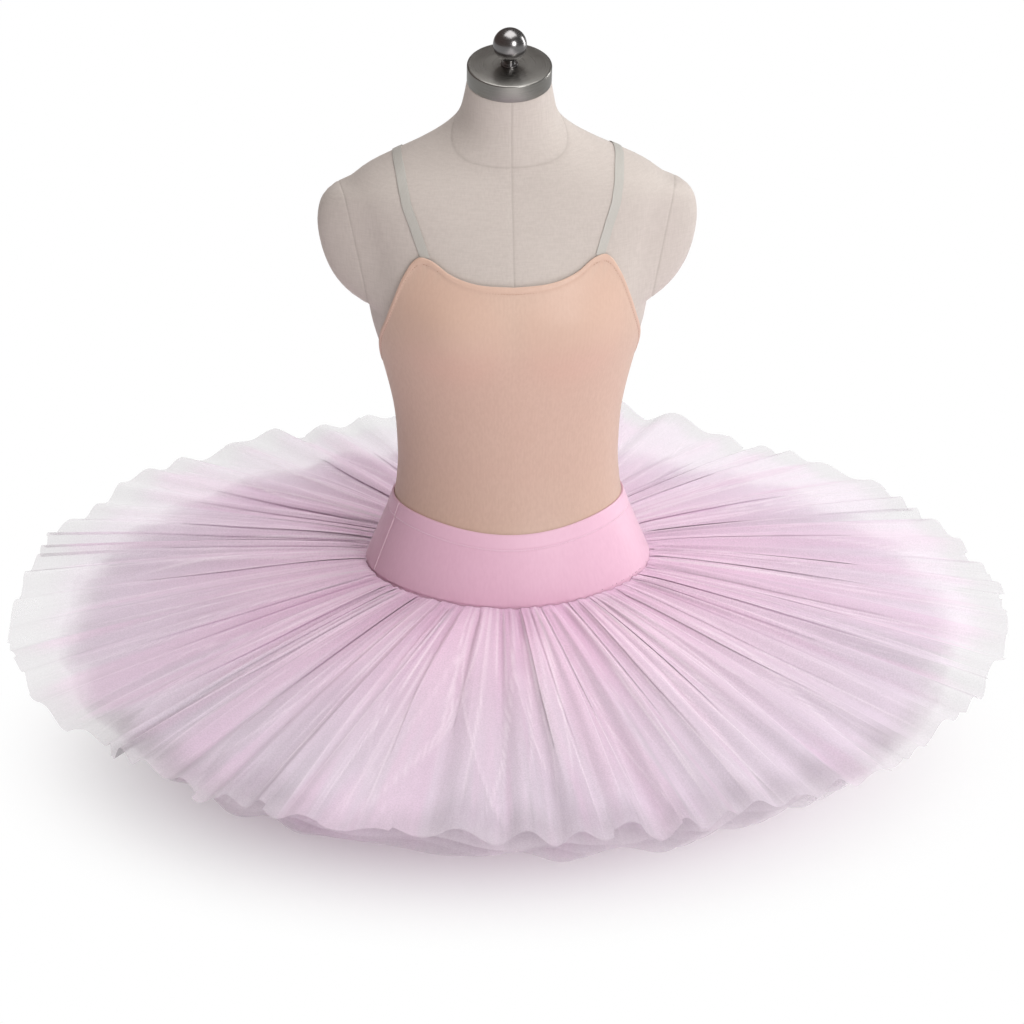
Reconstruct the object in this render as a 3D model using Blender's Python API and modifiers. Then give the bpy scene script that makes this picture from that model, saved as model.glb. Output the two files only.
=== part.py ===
"""A ballet tutu on a limbless dress form.

Metres, +Z up. The origin is the centre of the form's flat base, on the surface that it stands on.
The garment's front faces -Y. Angles round the body are measured from the centre front, and
+90 degrees is the side at +X.

The dress form is worked out from a table of sections. Each panel of the garment lies on the same
surface, lifted off it, and each net layer is a gathered ring that starts at the knickers.
"""

import math
from collections import namedtuple

import bmesh
import bpy
from mathutils import Matrix, Vector

TURN = 2 * math.pi
STEP = 1e-4
WELD = 1e-5  # points closer than this are one point

# Clearances and walls
GAP = 0.0003  # between pieces that meet
CLOTH_LIFT = 0.0015  # the dress form's cover to the cloth that lies on it
JERSEY_WALL = 0.0012
SATIN_WALL = 0.0014
STRAP_WALL = 0.0012
NET_WALL = 0.0010
OVER_JERSEY = CLOTH_LIFT + JERSEY_WALL + GAP  # how far out a piece lies on the bodice or knickers
NET_ROOT = OVER_JERSEY + 2 * GAP  # how far out a net layer starts, clear of the slope below it
FORM_COLUMNS = 40  # corners round the form, shared by all that lies on it

WAIST = 0.335

# The dress form: a section for each height, with its half width, its depth to the front and to
# the back of its centre, the centre's place along Y, and how far it leans forward, in degrees.
# A corner of 1 makes it an ellipse, and less makes its corners fuller.
Section = namedtuple("Section", "height half_width front back centre_y lean corner")
FORM_SECTIONS = (
    Section(0.000, 0.1500, 0.0980, 0.1060, 0.0000, 0.0, 1.00),  # flat base
    Section(0.006, 0.1560, 0.1030, 0.1110, 0.0000, 0.0, 1.00),
    Section(0.070, 0.1625, 0.1080, 0.1170, 0.0000, 0.0, 1.00),
    Section(0.140, 0.1640, 0.1110, 0.1190, 0.0000, 0.0, 1.00),  # hips
    Section(0.180, 0.1560, 0.1150, 0.1160, 0.0000, 0.0, 1.00),
    Section(0.212, 0.1450, 0.1160, 0.1110, 0.0000, 0.0, 1.00),
    Section(0.250, 0.1295, 0.1055, 0.1000, 0.0000, 0.0, 1.00),
    Section(0.283, 0.1163, 0.0935, 0.0870, 0.0000, 0.0, 1.00),
    Section(0.310, 0.1124, 0.0880, 0.0800, 0.0000, 0.0, 1.00),
    Section(WAIST, 0.1115, 0.0860, 0.0770, 0.0000, 0.0, 1.00),
    Section(0.384, 0.1150, 0.0895, 0.0820, 0.0000, 0.0, 1.00),
    Section(0.439, 0.1272, 0.1015, 0.0900, 0.0000, 0.0, 1.00),
    Section(0.475, 0.1375, 0.1125, 0.0945, 0.0000, 0.0, 1.00),  # bust
    Section(0.502, 0.1425, 0.1135, 0.0960, 0.0000, 0.0, 1.00),
    Section(0.530, 0.1475, 0.1070, 0.0960, 0.0000, 0.0, 1.00),
    Section(0.562, 0.1530, 0.0960, 0.0930, 0.0000, 0.0, 0.99),
    Section(0.590, 0.1590, 0.0850, 0.0880, 0.0000, 0.0, 0.92),
    Section(0.610, 0.1625, 0.0770, 0.0830, 0.0000, 0.0, 0.86),
    Section(0.622, 0.1590, 0.0720, 0.0790, 0.0000, 0.0, 0.84),  # shoulder tips
    Section(0.635, 0.1430, 0.0670, 0.0740, 0.0000, 0.0, 0.84),
    Section(0.648, 0.1190, 0.0630, 0.0690, 0.0000, 1.0, 0.98),
    Section(0.660, 0.0940, 0.0600, 0.0640, -0.0020, 3.0, 1.08),
    Section(0.672, 0.0710, 0.0570, 0.0580, -0.0050, 7.0, 1.08),
    Section(0.684, 0.0555, 0.0520, 0.0510, -0.0090, 11.0, 1.00),
    Section(0.696, 0.0485, 0.0475, 0.0460, -0.0130, 14.0, 1.00),
    Section(0.710, 0.0450, 0.0440, 0.0430, -0.0180, 16.0, 1.00),
    Section(0.730, 0.0415, 0.0405, 0.0405, -0.0238, 16.0, 1.00),  # under the neck cap
)
# Heights of the rings of the form's mesh, closer where it curves more
RING_HEIGHTS = (
    *(0.000, 0.006, 0.070, 0.130, 0.160, 0.185, 0.208, 0.230, 0.255, 0.280, 0.305),
    *(0.335, 0.370, 0.410, 0.445, 0.472, 0.490, 0.502, 0.507, 0.516, 0.530, 0.546),
    *(0.562, 0.580, 0.598, 0.611, 0.622, 0.635, 0.648, 0.660, 0.672, 0.684, 0.697),
    *(0.713, 0.730),
)

# The bust: the form swells on each side of its front, round this height and angle.
BUST_HEIGHT = 0.496
BUST_HALF_HEIGHT = 0.040
BUST_ANGLE = math.radians(27)
BUST_HALF_ANGLE = math.radians(17)
BUST_SWELL = 0.0045
# Shoulder caps: the form swells to each side round this height.
CAP_HEIGHT = 0.562
CAP_HALF_HEIGHT = 0.060
CAP_BULGE = 0.036
CAP_HALF_ANGLE = math.radians(33)
# Three points of the plane in which the right cap meets the torso.
ARMHOLE_TOP = Vector((0.1680, 0.0000, 0.6200))
ARMHOLE_FRONT = Vector((0.1550, -0.0450, 0.5750))
ARMHOLE_BOTTOM = Vector((0.1465, 0.0000, 0.5050))
ARMHOLE_CUT_FROM = 0.40  # the plane cuts nothing lower than this

# The seam between the neck and the torso is a plane through this point.
NECK_SEAM_FRONT = Vector((0.0, -0.0630, 0.6520))
NECK_SEAM_SLOPE = math.radians(31.7)

# Neck cap and finial, in brushed steel, on the neck's leaning axis
STEEL_CAP_RADIUS = 0.0418
STEEL_CAP_THICKNESS = 0.0182
STEEL_CAP_EDGE = 0.0016
STEM_RADIUS = 0.0049
STEM_FOOT_RADIUS = 0.0085
STEM_FOOT_THICKNESS = 0.0015
BALL_RADIUS = 0.0166
BALL_CENTRE = 0.0222  # above the cap's top
STEEL_SIDES = 24
BALL_STEPS = 6

# Heights of the garment's edges and rows
Edge = namedtuple("Edge", "angle height")
NECKLINE = (
    Edge(0, 0.5430),
    Edge(14, 0.5455),
    Edge(24, 0.5535),
    Edge(31, 0.5655),  # the strap is sewn on between here
    Edge(37, 0.5665),  # and here
    Edge(44, 0.5500),
    Edge(53, 0.5200),
    Edge(64, 0.4890),
    Edge(90, 0.4380),  # underarm
    Edge(118, 0.4360),
    Edge(141, 0.4500),  # the strap's other end
    Edge(149, 0.4500),
    Edge(162, 0.4360),
    Edge(180, 0.4320),
)
NECK_BAND = 0.0066  # the turned edge above its stitches
NECK_TURN = 0.0005  # and how much thicker the wall is there
RIBS = 0.415  # where the bodice's rows start to follow its neckline
FRONT_NECK_ROWS = 7
BACK_NECK_ROWS = 2
BASQUE_TOP = 0.285
BASQUE_TOP_DIP = 0.010  # lower at the centre front
BASQUE_HEM = 0.212
BASQUE_HEM_DIP = 0.006
CASING = 0.0150  # the basque's turned top edge
CASING_TURN = 0.0006
BASQUE_TWIST = 2 * TURN / FORM_COLUMNS  # the basque sits turned by this much on the form
TURN_STEP = 0.0008  # the height over which a turned edge thickens
BASQUE_ROWS = 3  # below its casing
KNICKERS_HEIGHTS = (0.150, 0.182)  # below the basque, under which they go on up

# Straps: the middle of the right one, from the bodice's front edge over the shoulder
STRAP_WIDTH = 0.0096
STRAP_ROWS = 18
STRAP_LOOK = 0.01  # the share of the path, before and after a point, that gives its direction
STRAP_PATH = (
    Edge(33.7, 0.5662),
    Edge(34.4, 0.5900),
    Edge(35.2, 0.6100),
    Edge(38.8, 0.6260),
    Edge(49.0, 0.6385),
    Edge(68.0, 0.6485),
    Edge(90.0, 0.6522),  # on top of the shoulder
    Edge(112.0, 0.6485),
    Edge(132.0, 0.6380),
    Edge(143.0, 0.6170),
    Edge(143.6, 0.5850),
    Edge(143.8, 0.5450),
    Edge(144.6, 0.5000),
    Edge(145.0, 0.4507),
)

# Net layers. The heights are those of the middle of the wall; a wave is half of its full height.
Layer = namedtuple(
    "Layer", "name pleats rings rim_radius row_height rim_height row_wave rim_wave shift"
)
NET_LAYERS = (
    Layer("net_top", 64, 3, 0.525, 0.2094, 0.1600, 0.0011, 0.0042, 0.00),
    Layer("net_second", 30, 2, 0.470, 0.1995, 0.1450, 0.0014, 0.0040, 0.30),
    Layer("net_third", 30, 2, 0.464, 0.1900, 0.1362, 0.0014, 0.0045, 0.44),
    Layer("net_fourth", 30, 2, 0.455, 0.1805, 0.1274, 0.0014, 0.0045, 0.58),
    Layer("net_lowest", 30, 2, 0.444, 0.1710, 0.1190, 0.0014, 0.0045, 0.72),
)
CORNERS_PER_PLEAT = 4
NET_FALL = 1.3  # 1 is a straight cone, more bends the net down towards its rim
NET_SIDE_DROOP = 0.003  # the rim at +X hangs this much lower

# What makes the pleats uneven: how many times round, how much, and where each starts, in turns.
Ripple = namedtuple("Ripple", "count amount start")
PLEAT_SPACING = (Ripple(5, 0.0058, 0.10), Ripple(13, 0.0026, 0.37))
RIM_SWAY = (Ripple(6, 0.0040, 0.30), Ripple(15, 0.0022, 0.72))  # the rim against the root
PLEAT_DEPTH = (Ripple(7, 0.20, 0.16), Ripple(17, 0.20, 0.61), Ripple(29, 0.15, 0.30))
FRONT_POINTS = 0.45  # how much deeper the top layer's pleats hang at the centre front
RIM_REACH = (Ripple(9, 0.0050, 0.08), Ripple(23, 0.0045, 0.45), Ripple(41, 0.0030, 0.20))
LOWER_FRONT_REACH = 0.085  # how much further the lower layers reach at the centre front
# Large flutes that stand up from the back of the top layer's rim
Flute = namedtuple("Flute", "angle rise half_width")
FLUTES = (
    Flute(161.5, 0.020, 3.0),
    Flute(154.5, 0.018, 3.6),
    Flute(194.5, 0.010, 4.0),
    Flute(212.0, 0.010, 4.5),
    Flute(226.0, 0.012, 3.2),
    Flute(232.0, 0.011, 3.2),
)


def smooth_between(rows, at, key, field):
    """The value of a table's field between its rows, on a smooth curve through them."""
    last = len(rows) - 1
    index = 0
    while index < last - 1 and at > getattr(rows[index + 1], key):
        index += 1
    low = rows[index]
    high = rows[index + 1]
    span = getattr(high, key) - getattr(low, key)
    share = min(1.0, max(0.0, (at - getattr(low, key)) / span))

    def slope(middle):
        before = rows[max(0, middle - 1)]
        after = rows[min(last, middle + 1)]
        rise = getattr(after, field) - getattr(before, field)
        return rise / (getattr(after, key) - getattr(before, key))

    start = getattr(low, field)
    end = getattr(high, field)
    cube = share**3
    square = share**2
    return (
        (2 * cube - 3 * square + 1) * start
        + (cube - 2 * square + share) * span * slope(index)
        + (3 * square - 2 * cube) * end
        + (cube - square) * span * slope(index + 1)
    )


def cap_bulge(angle, height):
    """How far the shoulder caps stand out from the sides."""
    up = (height - CAP_HEIGHT) / CAP_HALF_HEIGHT
    if abs(up) >= 1:
        return 0.0
    side = math.acos(min(1.0, abs(math.sin(angle)))) / CAP_HALF_ANGLE
    if side >= 1:
        return 0.0
    return CAP_BULGE * math.sqrt(1 - up**2) * (1 - side**2) ** 2


def bust_swell(angle, height):
    """How far the two sides of the bust stand out from the front."""
    away = math.acos(max(-1.0, min(1.0, math.cos(angle))))
    across = (away - BUST_ANGLE) / BUST_HALF_ANGLE
    up = (height - BUST_HEIGHT) / BUST_HALF_HEIGHT
    return BUST_SWELL * math.exp(-(across**2) - up**2)


def rounded(value, corner):
    """A sine or cosine raised to a power, with its sign kept."""
    return math.copysign(abs(value) ** corner, value)


def form_size(field, height):
    return smooth_between(FORM_SECTIONS, height, "height", field)


def form_point(angle, height):
    """A point of the dress form's surface."""
    swell = bust_swell(angle, height)
    half_width = form_size("half_width", height) + cap_bulge(angle, height) + swell
    depth = form_size("front" if math.cos(angle) > 0 else "back", height) + swell
    corner = form_size("corner", height)
    forward = -depth * rounded(math.cos(angle), corner)
    lean = math.radians(form_size("lean", height))
    return Vector(
        (
            half_width * rounded(math.sin(angle), corner),
            form_size("centre_y", height) + forward * math.cos(lean),
            height + forward * math.sin(lean),
        )
    )


def form_normal(angle, height):
    """The direction straight out of the form's surface."""
    around = form_point(angle + STEP, height) - form_point(angle - STEP, height)
    upward = form_point(angle, height + STEP) - form_point(angle, height - STEP)
    return around.cross(upward).normalized()


def on_form(angle, height, lift):
    return form_point(angle, height) + form_normal(angle, height) * lift


def edge_height(edge, angle):
    """The height of the neckline or of the strap at an angle, the same on both sides."""
    away = math.degrees(math.acos(max(-1.0, min(1.0, math.cos(angle)))))
    return smooth_between(edge, away, "angle", "height")


def front_dip(angle):
    """1 at the centre front, falling to 0 towards the sides."""
    return max(0.0, math.cos(angle)) ** 4


def basque_hem(angle):
    return BASQUE_HEM - BASQUE_HEM_DIP * front_dip(angle)


def basque_top(angle):
    return BASQUE_TOP - BASQUE_TOP_DIP * front_dip(angle)


def material(name, colour, roughness, metallic=0.0):
    made = bpy.data.materials.new(name)
    made.use_nodes = True
    shader = made.node_tree.nodes["Principled BSDF"]
    shader.inputs["Base Color"].default_value = (*colour, 1.0)
    shader.inputs["Roughness"].default_value = roughness
    shader.inputs["Metallic"].default_value = metallic
    made.diffuse_color = (*colour, 1.0)
    return made


def finish(bm, name, slot, crease=40):
    """Turns a bmesh into a named object, smooth but for its sharp edges."""
    bmesh.ops.recalc_face_normals(bm, faces=bm.faces)
    if bm.calc_volume(signed=True) < 0:
        bmesh.ops.reverse_faces(bm, faces=bm.faces)
    mesh = bpy.data.meshes.new(name)
    bm.to_mesh(mesh)
    bm.free()
    mesh.shade_smooth()
    mesh.set_sharp_from_angle(angle=math.radians(crease))
    mesh.materials.append(slot)
    made = bpy.data.objects.new(name, mesh)
    parts.objects.link(made)
    return made


def grid(columns, rows, closed):
    """A flat grid over 0 to 1, or, if closed, one turned into a tube with no seam."""
    bm = bmesh.new()
    bmesh.ops.create_grid(bm, x_segments=columns, y_segments=rows, size=0.5)
    for vert in bm.verts:
        across = vert.co.x + 0.5
        along = vert.co.y + 0.5
        if closed:
            vert.co = (math.cos(TURN * across), math.sin(TURN * across), along)
        else:
            vert.co = (across, along, 0)
    bmesh.ops.remove_doubles(bm, verts=bm.verts, dist=WELD)
    return bm


def share_of(vert, closed):
    """Where a vertex of such a grid lies, across and along it, each from 0 to 1."""
    if closed:
        return math.atan2(vert.co.y, vert.co.x) / TURN % 1.0, vert.co.z
    return vert.co.x, vert.co.y


def wall(name, columns, rows, place, slot, closed=False):
    """A wall of cloth between place(across, along, 0) and place(across, along, 1)."""
    bm = grid(columns, rows, closed)
    inner = {vert: share_of(vert, closed) for vert in bm.verts}
    whole = bm.verts[:] + bm.edges[:] + bm.faces[:]
    copied = bmesh.ops.extrude_face_region(bm, geom=whole, use_keep_orig=True)["geom"]
    outer = [item for item in copied if isinstance(item, bmesh.types.BMVert)]
    places = {vert: place(*share_of(vert, closed), 1) for vert in outer}
    places.update({vert: place(*share, 0) for vert, share in inner.items()})
    for vert, point in places.items():
        vert.co = point
    return finish(bm, name, slot)


def turned_edge(foot, top, turn):
    """The rows of a turned and stitched edge, where the wall is thicker."""
    return [(foot, 0.0), (foot + TURN_STEP, turn), (top, turn)]


def bodice_rows(neck_rows):
    """Gives the function for a bodice panel's rows at an angle: their heights and extra walls."""

    def rows_at(angle):
        top = edge_height(NECKLINE, angle)
        band = top - NECK_BAND
        foot = basque_top(angle) - CASING + TURN_STEP
        rising = [RIBS + (band - RIBS) * row / neck_rows for row in range(neck_rows)]
        plain = [foot, basque_top(angle), WAIST, *rising]
        return [(height, 0.0) for height in plain] + turned_edge(band, top, NECK_TURN)

    return rows_at


def plain_basque_rows(angle):
    """The heights of the rows from the basque's hem to just below its casing."""
    hem = basque_hem(angle)
    rise = basque_top(angle) - CASING - hem
    return [hem + rise * row / BASQUE_ROWS for row in range(BASQUE_ROWS)]


def basque_rows(angle):
    plain = [(height, 0.0) for height in plain_basque_rows(angle)]
    top = basque_top(angle)
    return plain + turned_edge(top - CASING, top, CASING_TURN)


def knickers_rows(angle):
    heights = [*KNICKERS_HEIGHTS, *plain_basque_rows(angle)]
    return [(height, 0.0) for height in heights]


def panel(name, rows_at, lift, thick, slot, start=None):
    """A panel on the form: half of the way round from a start, or all round with none."""
    closed = start is None
    sweep = TURN if closed else TURN / 2
    columns = FORM_COLUMNS if closed else FORM_COLUMNS // 2
    row_count = len(rows_at(0.0)) - 1

    def place(across, along, side):
        angle = (0.0 if closed else start) + sweep * across
        height, extra = rows_at(angle)[round(along * row_count)]
        point = on_form(angle, height, lift + (thick + extra) * side)
        if not closed and round(across * columns) in (0, columns):
            # A side seam is drawn back by half of the gap between front and back.
            inwards = on_form(start + sweep / 2, height, lift) - point
            point += inwards.normalized() * GAP
        return point

    return wall(name, columns, row_count, place, slot, closed)


def strap_middle(along, side):
    """The strap's centre line: an angle round the form and a height."""
    pieces = len(STRAP_PATH) - 1
    stops = [Edge(index / pieces, point) for index, point in enumerate(STRAP_PATH)]
    angles = [Edge(stop.angle, stop.height.angle) for stop in stops]
    heights = [Edge(stop.angle, stop.height.height) for stop in stops]
    angle = smooth_between(angles, along, "angle", "height")
    return math.radians(angle) * side, smooth_between(heights, along, "angle", "height")


def sewn_edge(angle):
    """The height of a bodice panel's top edge, which is straight between its columns."""
    column = TURN / FORM_COLUMNS
    first = math.floor(angle / column)
    share = angle / column - first
    low = edge_height(NECKLINE, first * column)
    return low + (edge_height(NECKLINE, (first + 1) * column) - low) * share


def strap(name, side, slot):
    def place(across, along, lifted):
        before = form_point(*strap_middle(max(0.0, along - STRAP_LOOK), side))
        after = form_point(*strap_middle(min(1.0, along + STRAP_LOOK), side))
        angle, height = strap_middle(along, side)
        normal = form_normal(angle, height)
        across_way = normal.cross(after - before).normalized()
        lift = CLOTH_LIFT + STRAP_WALL * lifted
        point = form_point(angle, height) + across_way * STRAP_WIDTH * (across - 0.5)
        if round(along * STRAP_ROWS) in (0, STRAP_ROWS):
            # An end is cut to the line of the bodice's edge.
            sideways = math.asin(point.x / form_size("half_width", height))
            angle = sideways if point.y < 0 else TURN / 2 - sideways
            return on_form(angle, sewn_edge(angle) + 2 * GAP, lift)
        return point + normal * lift

    wall(name, 2, STRAP_ROWS, place, slot)


def rippled(ripples, share):
    return sum(r.amount * math.sin(TURN * (r.count * share + r.start)) for r in ripples)


def flute_rise(angle):
    """How far the large flutes lift the top layer's rim."""
    rise = 0.0
    for flute in FLUTES:
        away = math.degrees(angle) % 360 - flute.angle
        rise += flute.rise * math.exp(-((away / flute.half_width) ** 2))
    return rise


def net_point(layer, share, out):
    """The middle of a net layer's wall; out goes from 0 at the knickers to 1 at the rim."""
    angle = TURN * (share + rippled(PLEAT_SPACING, share))
    pleat = math.sin(TURN * (layer.pleats * share + layer.shift))
    depth = 1 + rippled(PLEAT_DEPTH, share)
    front = max(0.0, math.cos(angle)) ** 2
    dip = BASQUE_HEM_DIP * front_dip(angle)
    root = on_form(angle, layer.row_height - dip + layer.row_wave * pleat, NET_ROOT)
    reach = rippled(RIM_REACH, share)
    flute = 0.0
    if layer is NET_LAYERS[0]:
        depth *= 1 + FRONT_POINTS * front
        flute = flute_rise(angle)
    else:
        reach += LOWER_FRONT_REACH * front
    rim_radius = layer.rim_radius * (1 + reach)
    rim_angle = angle + TURN * rippled(RIM_SWAY, share)
    rim = Vector((rim_radius * math.sin(rim_angle), -rim_radius * math.cos(rim_angle), 0))
    wave = layer.row_wave + (layer.rim_wave * depth - layer.row_wave) * out
    point = root.lerp(rim, out)
    fall = (layer.row_height - layer.rim_height) * out**NET_FALL
    point.z = layer.row_height - dip * (1 - out) ** 2 - fall + wave * pleat
    point.z += flute * out**3 - NET_SIDE_DROOP * math.sin(angle) * out
    return point


def net(layer, slot):
    def place(across, along, side):
        around = net_point(layer, across + STEP, along) - net_point(layer, across - STEP, along)
        inside = net_point(layer, across, max(0.0, along - STEP))
        outward = net_point(layer, across, min(1.0, along + STEP)) - inside
        upward = outward.cross(around).normalized()
        return net_point(layer, across, along) + upward * NET_WALL * (side - 0.5)

    wall(layer.name, layer.pleats * CORNERS_PER_PLEAT, layer.rings, place, slot, closed=True)


def whole_figure():
    """The dress form from base to neck as one closed bmesh, to be cut into its pieces."""
    last = len(RING_HEIGHTS) - 1
    bm = grid(FORM_COLUMNS, last, closed=True)
    for vert in bm.verts:
        across, along = share_of(vert, closed=True)
        vert.co = form_point(TURN * across, RING_HEIGHTS[round(along * last)])
    fill(bm)
    return bm


def fill(bm):
    """Closes each open end with one flat face."""
    bmesh.ops.holes_fill(bm, edges=[edge for edge in bm.edges if edge.is_boundary], sides=0)


def cut(bm, point, normal, above=-1.0):
    """Takes away what lies on the normal's side of a plane, of the faces above a height."""
    faces = [face for face in bm.faces if min(vert.co.z for vert in face.verts) > above]
    edges = {edge for face in faces for edge in face.edges}
    verts = {vert for face in faces for vert in face.verts}
    bmesh.ops.bisect_plane(
        bm,
        geom=faces + list(edges) + list(verts),
        plane_co=point,
        plane_no=normal,
        dist=WELD,
        clear_outer=True,
    )
    fill(bm)


def mirrored(vector, side):
    return Vector((vector.x * side, vector.y, vector.z))


def dress_form(slot):
    neck_normal = Vector((0, -math.sin(NECK_SEAM_SLOPE), math.cos(NECK_SEAM_SLOPE)))
    half_gap = neck_normal * GAP / 2
    armhole_normal = (ARMHOLE_TOP - ARMHOLE_BOTTOM).cross(ARMHOLE_FRONT - ARMHOLE_BOTTOM)
    armhole_normal.normalize()

    torso = whole_figure()
    cut(torso, NECK_SEAM_FRONT - half_gap, neck_normal, ARMHOLE_CUT_FROM)
    for side, name in ((1, "form_shoulder_cap_right"), (-1, "form_shoulder_cap_left")):
        normal = mirrored(armhole_normal, side)
        point = mirrored(ARMHOLE_BOTTOM, side)
        cut(torso, point - normal * GAP / 2, normal, ARMHOLE_CUT_FROM)

        cap = whole_figure()
        low = [face for face in cap.faces if max(v.co.z for v in face.verts) < ARMHOLE_CUT_FROM]
        bmesh.ops.delete(cap, geom=low, context="FACES")
        fill(cap)
        cut(cap, point + normal * GAP / 2, -normal)
        finish(cap, name, slot)
    finish(torso, "form_torso", slot)

    neck = whole_figure()
    cut(neck, NECK_SEAM_FRONT + half_gap, -neck_normal)
    finish(neck, "form_neck", slot)


def neck_axis():
    """The frame of the neck's top, whose Z is the neck's leaning axis."""
    top = FORM_SECTIONS[-1]
    lean = Matrix.Rotation(math.radians(top.lean), 4, "X")
    return Matrix.Translation((0, top.centre_y, top.height)) @ lean


def turned(name, profile, slot, bottom):
    """A turned piece: a profile of (radius, height) pairs, outer side from top to bottom."""
    mesh = bpy.data.meshes.new(name)
    points = [(radius, 0, height) for radius, height in profile]
    edges = [(index, index + 1) for index in range(len(points) - 1)]
    mesh.from_pydata(points, edges, [])
    mesh.materials.append(slot)
    made = bpy.data.objects.new(name, mesh)
    made.matrix_world = neck_axis() @ Matrix.Translation((0, 0, bottom))
    parts.objects.link(made)
    screw = made.modifiers.new("Turning", "SCREW")
    screw.steps = STEEL_SIDES
    screw.render_steps = STEEL_SIDES
    screw.use_merge_vertices = True
    screw.merge_threshold = WELD
    screw.use_smooth_shade = True


def neck_cap(slot):
    """The steel cap, with a narrow bevel at each edge."""
    top = STEEL_CAP_THICKNESS
    profile = (
        (0.0, top),
        (STEEL_CAP_RADIUS - STEEL_CAP_EDGE, top),
        (STEEL_CAP_RADIUS, top - STEEL_CAP_EDGE),
        (STEEL_CAP_RADIUS, STEEL_CAP_EDGE),
        (STEEL_CAP_RADIUS - STEEL_CAP_EDGE, 0.0),
        (0.0, 0.0),
    )
    turned("neck_cap", profile, slot, GAP)


def finial(slot):
    """The ball on its stem, which stands on the neck cap on a thin foot."""
    meets = math.acos(-math.sqrt(1 - (STEM_RADIUS / BALL_RADIUS) ** 2))
    down = [meets * index / BALL_STEPS for index in range(BALL_STEPS + 1)]
    ball = [(BALL_RADIUS * math.sin(a), BALL_CENTRE + BALL_RADIUS * math.cos(a)) for a in down]
    foot = [
        (STEM_RADIUS, STEM_FOOT_THICKNESS),
        (STEM_FOOT_RADIUS, STEM_FOOT_THICKNESS),
        (STEM_FOOT_RADIUS, 0.0),
        (0.0, 0.0),
    ]
    turned("finial", ball + foot, slot, STEEL_CAP_THICKNESS + 2 * GAP)


for old in list(bpy.data.objects):
    bpy.data.objects.remove(old)
parts = bpy.data.collections.new("ballet_tutu")
bpy.context.scene.collection.children.link(parts)

dress_form(material("form_linen", (0.53, 0.48, 0.44), 0.9))
steel = material("brushed_steel", (0.55, 0.54, 0.53), 0.3, 1.0)
neck_cap(steel)
finial(steel)
nude_jersey = material("nude_jersey", (0.68, 0.46, 0.36), 0.75)
FRONT = -TURN / 4  # a front panel runs from one side seam to the other
BACK = TURN / 4
for name, start, neck_rows in (
    ("bodice_front", FRONT, FRONT_NECK_ROWS),
    ("bodice_back", BACK, BACK_NECK_ROWS),
):
    panel(name, bodice_rows(neck_rows), CLOTH_LIFT, JERSEY_WALL, nude_jersey, start)
elastic = material("satin_elastic", (0.72, 0.70, 0.63), 0.45)
strap("strap_right", 1, elastic)
strap("strap_left", -1, elastic)
pink_satin = material("pink_satin_lycra", (0.76, 0.42, 0.56), 0.45)
for name, start in (("basque_front", FRONT), ("basque_back", BACK)):
    panel(name, basque_rows, OVER_JERSEY, SATIN_WALL, pink_satin, start + BASQUE_TWIST)
panel("knickers", knickers_rows, CLOTH_LIFT, JERSEY_WALL, pink_satin)
pink_net = material("pink_net", (0.82, 0.62, 0.76), 0.7)
for net_layer in NET_LAYERS:
    net(net_layer, pink_net)
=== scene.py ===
"""A ballet tutu on a limbless dress form: fine cloth, sewing and finishes over the fixed frame.

Metres, +Z up. The garment's front faces -Y. Angles round the body are measured from the centre
front, and +90 degrees is the side at +X.
"""

import math
import random
from collections import namedtuple
from functools import lru_cache

import bmesh
import bpy
from mathutils import Matrix, Vector, noise


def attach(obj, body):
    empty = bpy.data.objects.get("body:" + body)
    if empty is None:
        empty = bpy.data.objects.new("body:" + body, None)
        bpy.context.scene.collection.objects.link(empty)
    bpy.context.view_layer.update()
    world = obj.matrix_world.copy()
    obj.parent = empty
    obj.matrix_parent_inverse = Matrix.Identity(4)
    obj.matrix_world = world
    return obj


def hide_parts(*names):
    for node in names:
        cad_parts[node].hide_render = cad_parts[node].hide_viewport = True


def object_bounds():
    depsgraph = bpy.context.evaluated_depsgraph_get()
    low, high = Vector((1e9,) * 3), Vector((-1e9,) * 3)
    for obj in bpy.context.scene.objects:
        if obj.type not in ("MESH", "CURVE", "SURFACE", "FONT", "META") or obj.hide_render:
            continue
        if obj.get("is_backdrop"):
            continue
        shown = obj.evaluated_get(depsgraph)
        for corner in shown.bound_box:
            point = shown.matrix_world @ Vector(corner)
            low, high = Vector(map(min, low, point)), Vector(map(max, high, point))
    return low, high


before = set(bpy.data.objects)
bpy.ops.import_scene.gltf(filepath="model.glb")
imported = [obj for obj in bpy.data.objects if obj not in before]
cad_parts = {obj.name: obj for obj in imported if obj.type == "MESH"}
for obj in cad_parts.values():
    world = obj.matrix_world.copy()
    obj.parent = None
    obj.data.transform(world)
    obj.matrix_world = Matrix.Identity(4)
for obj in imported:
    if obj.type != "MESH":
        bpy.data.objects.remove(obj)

cad_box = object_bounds()

TURN = 2 * math.pi
STEP = 1e-4
TINY = 1e-5

# ---------------------------------------------------------------- sizes that the solids share

GAP = 0.0003
CLOTH_LIFT = 0.0015
JERSEY_WALL = 0.0012
SATIN_WALL = 0.0014
STRAP_WALL = 0.0012
OVER_JERSEY = CLOTH_LIFT + JERSEY_WALL + GAP
NET_ROOT = OVER_JERSEY + 2 * GAP
FORM_COLUMNS = 40
WAIST = 0.335

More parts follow.
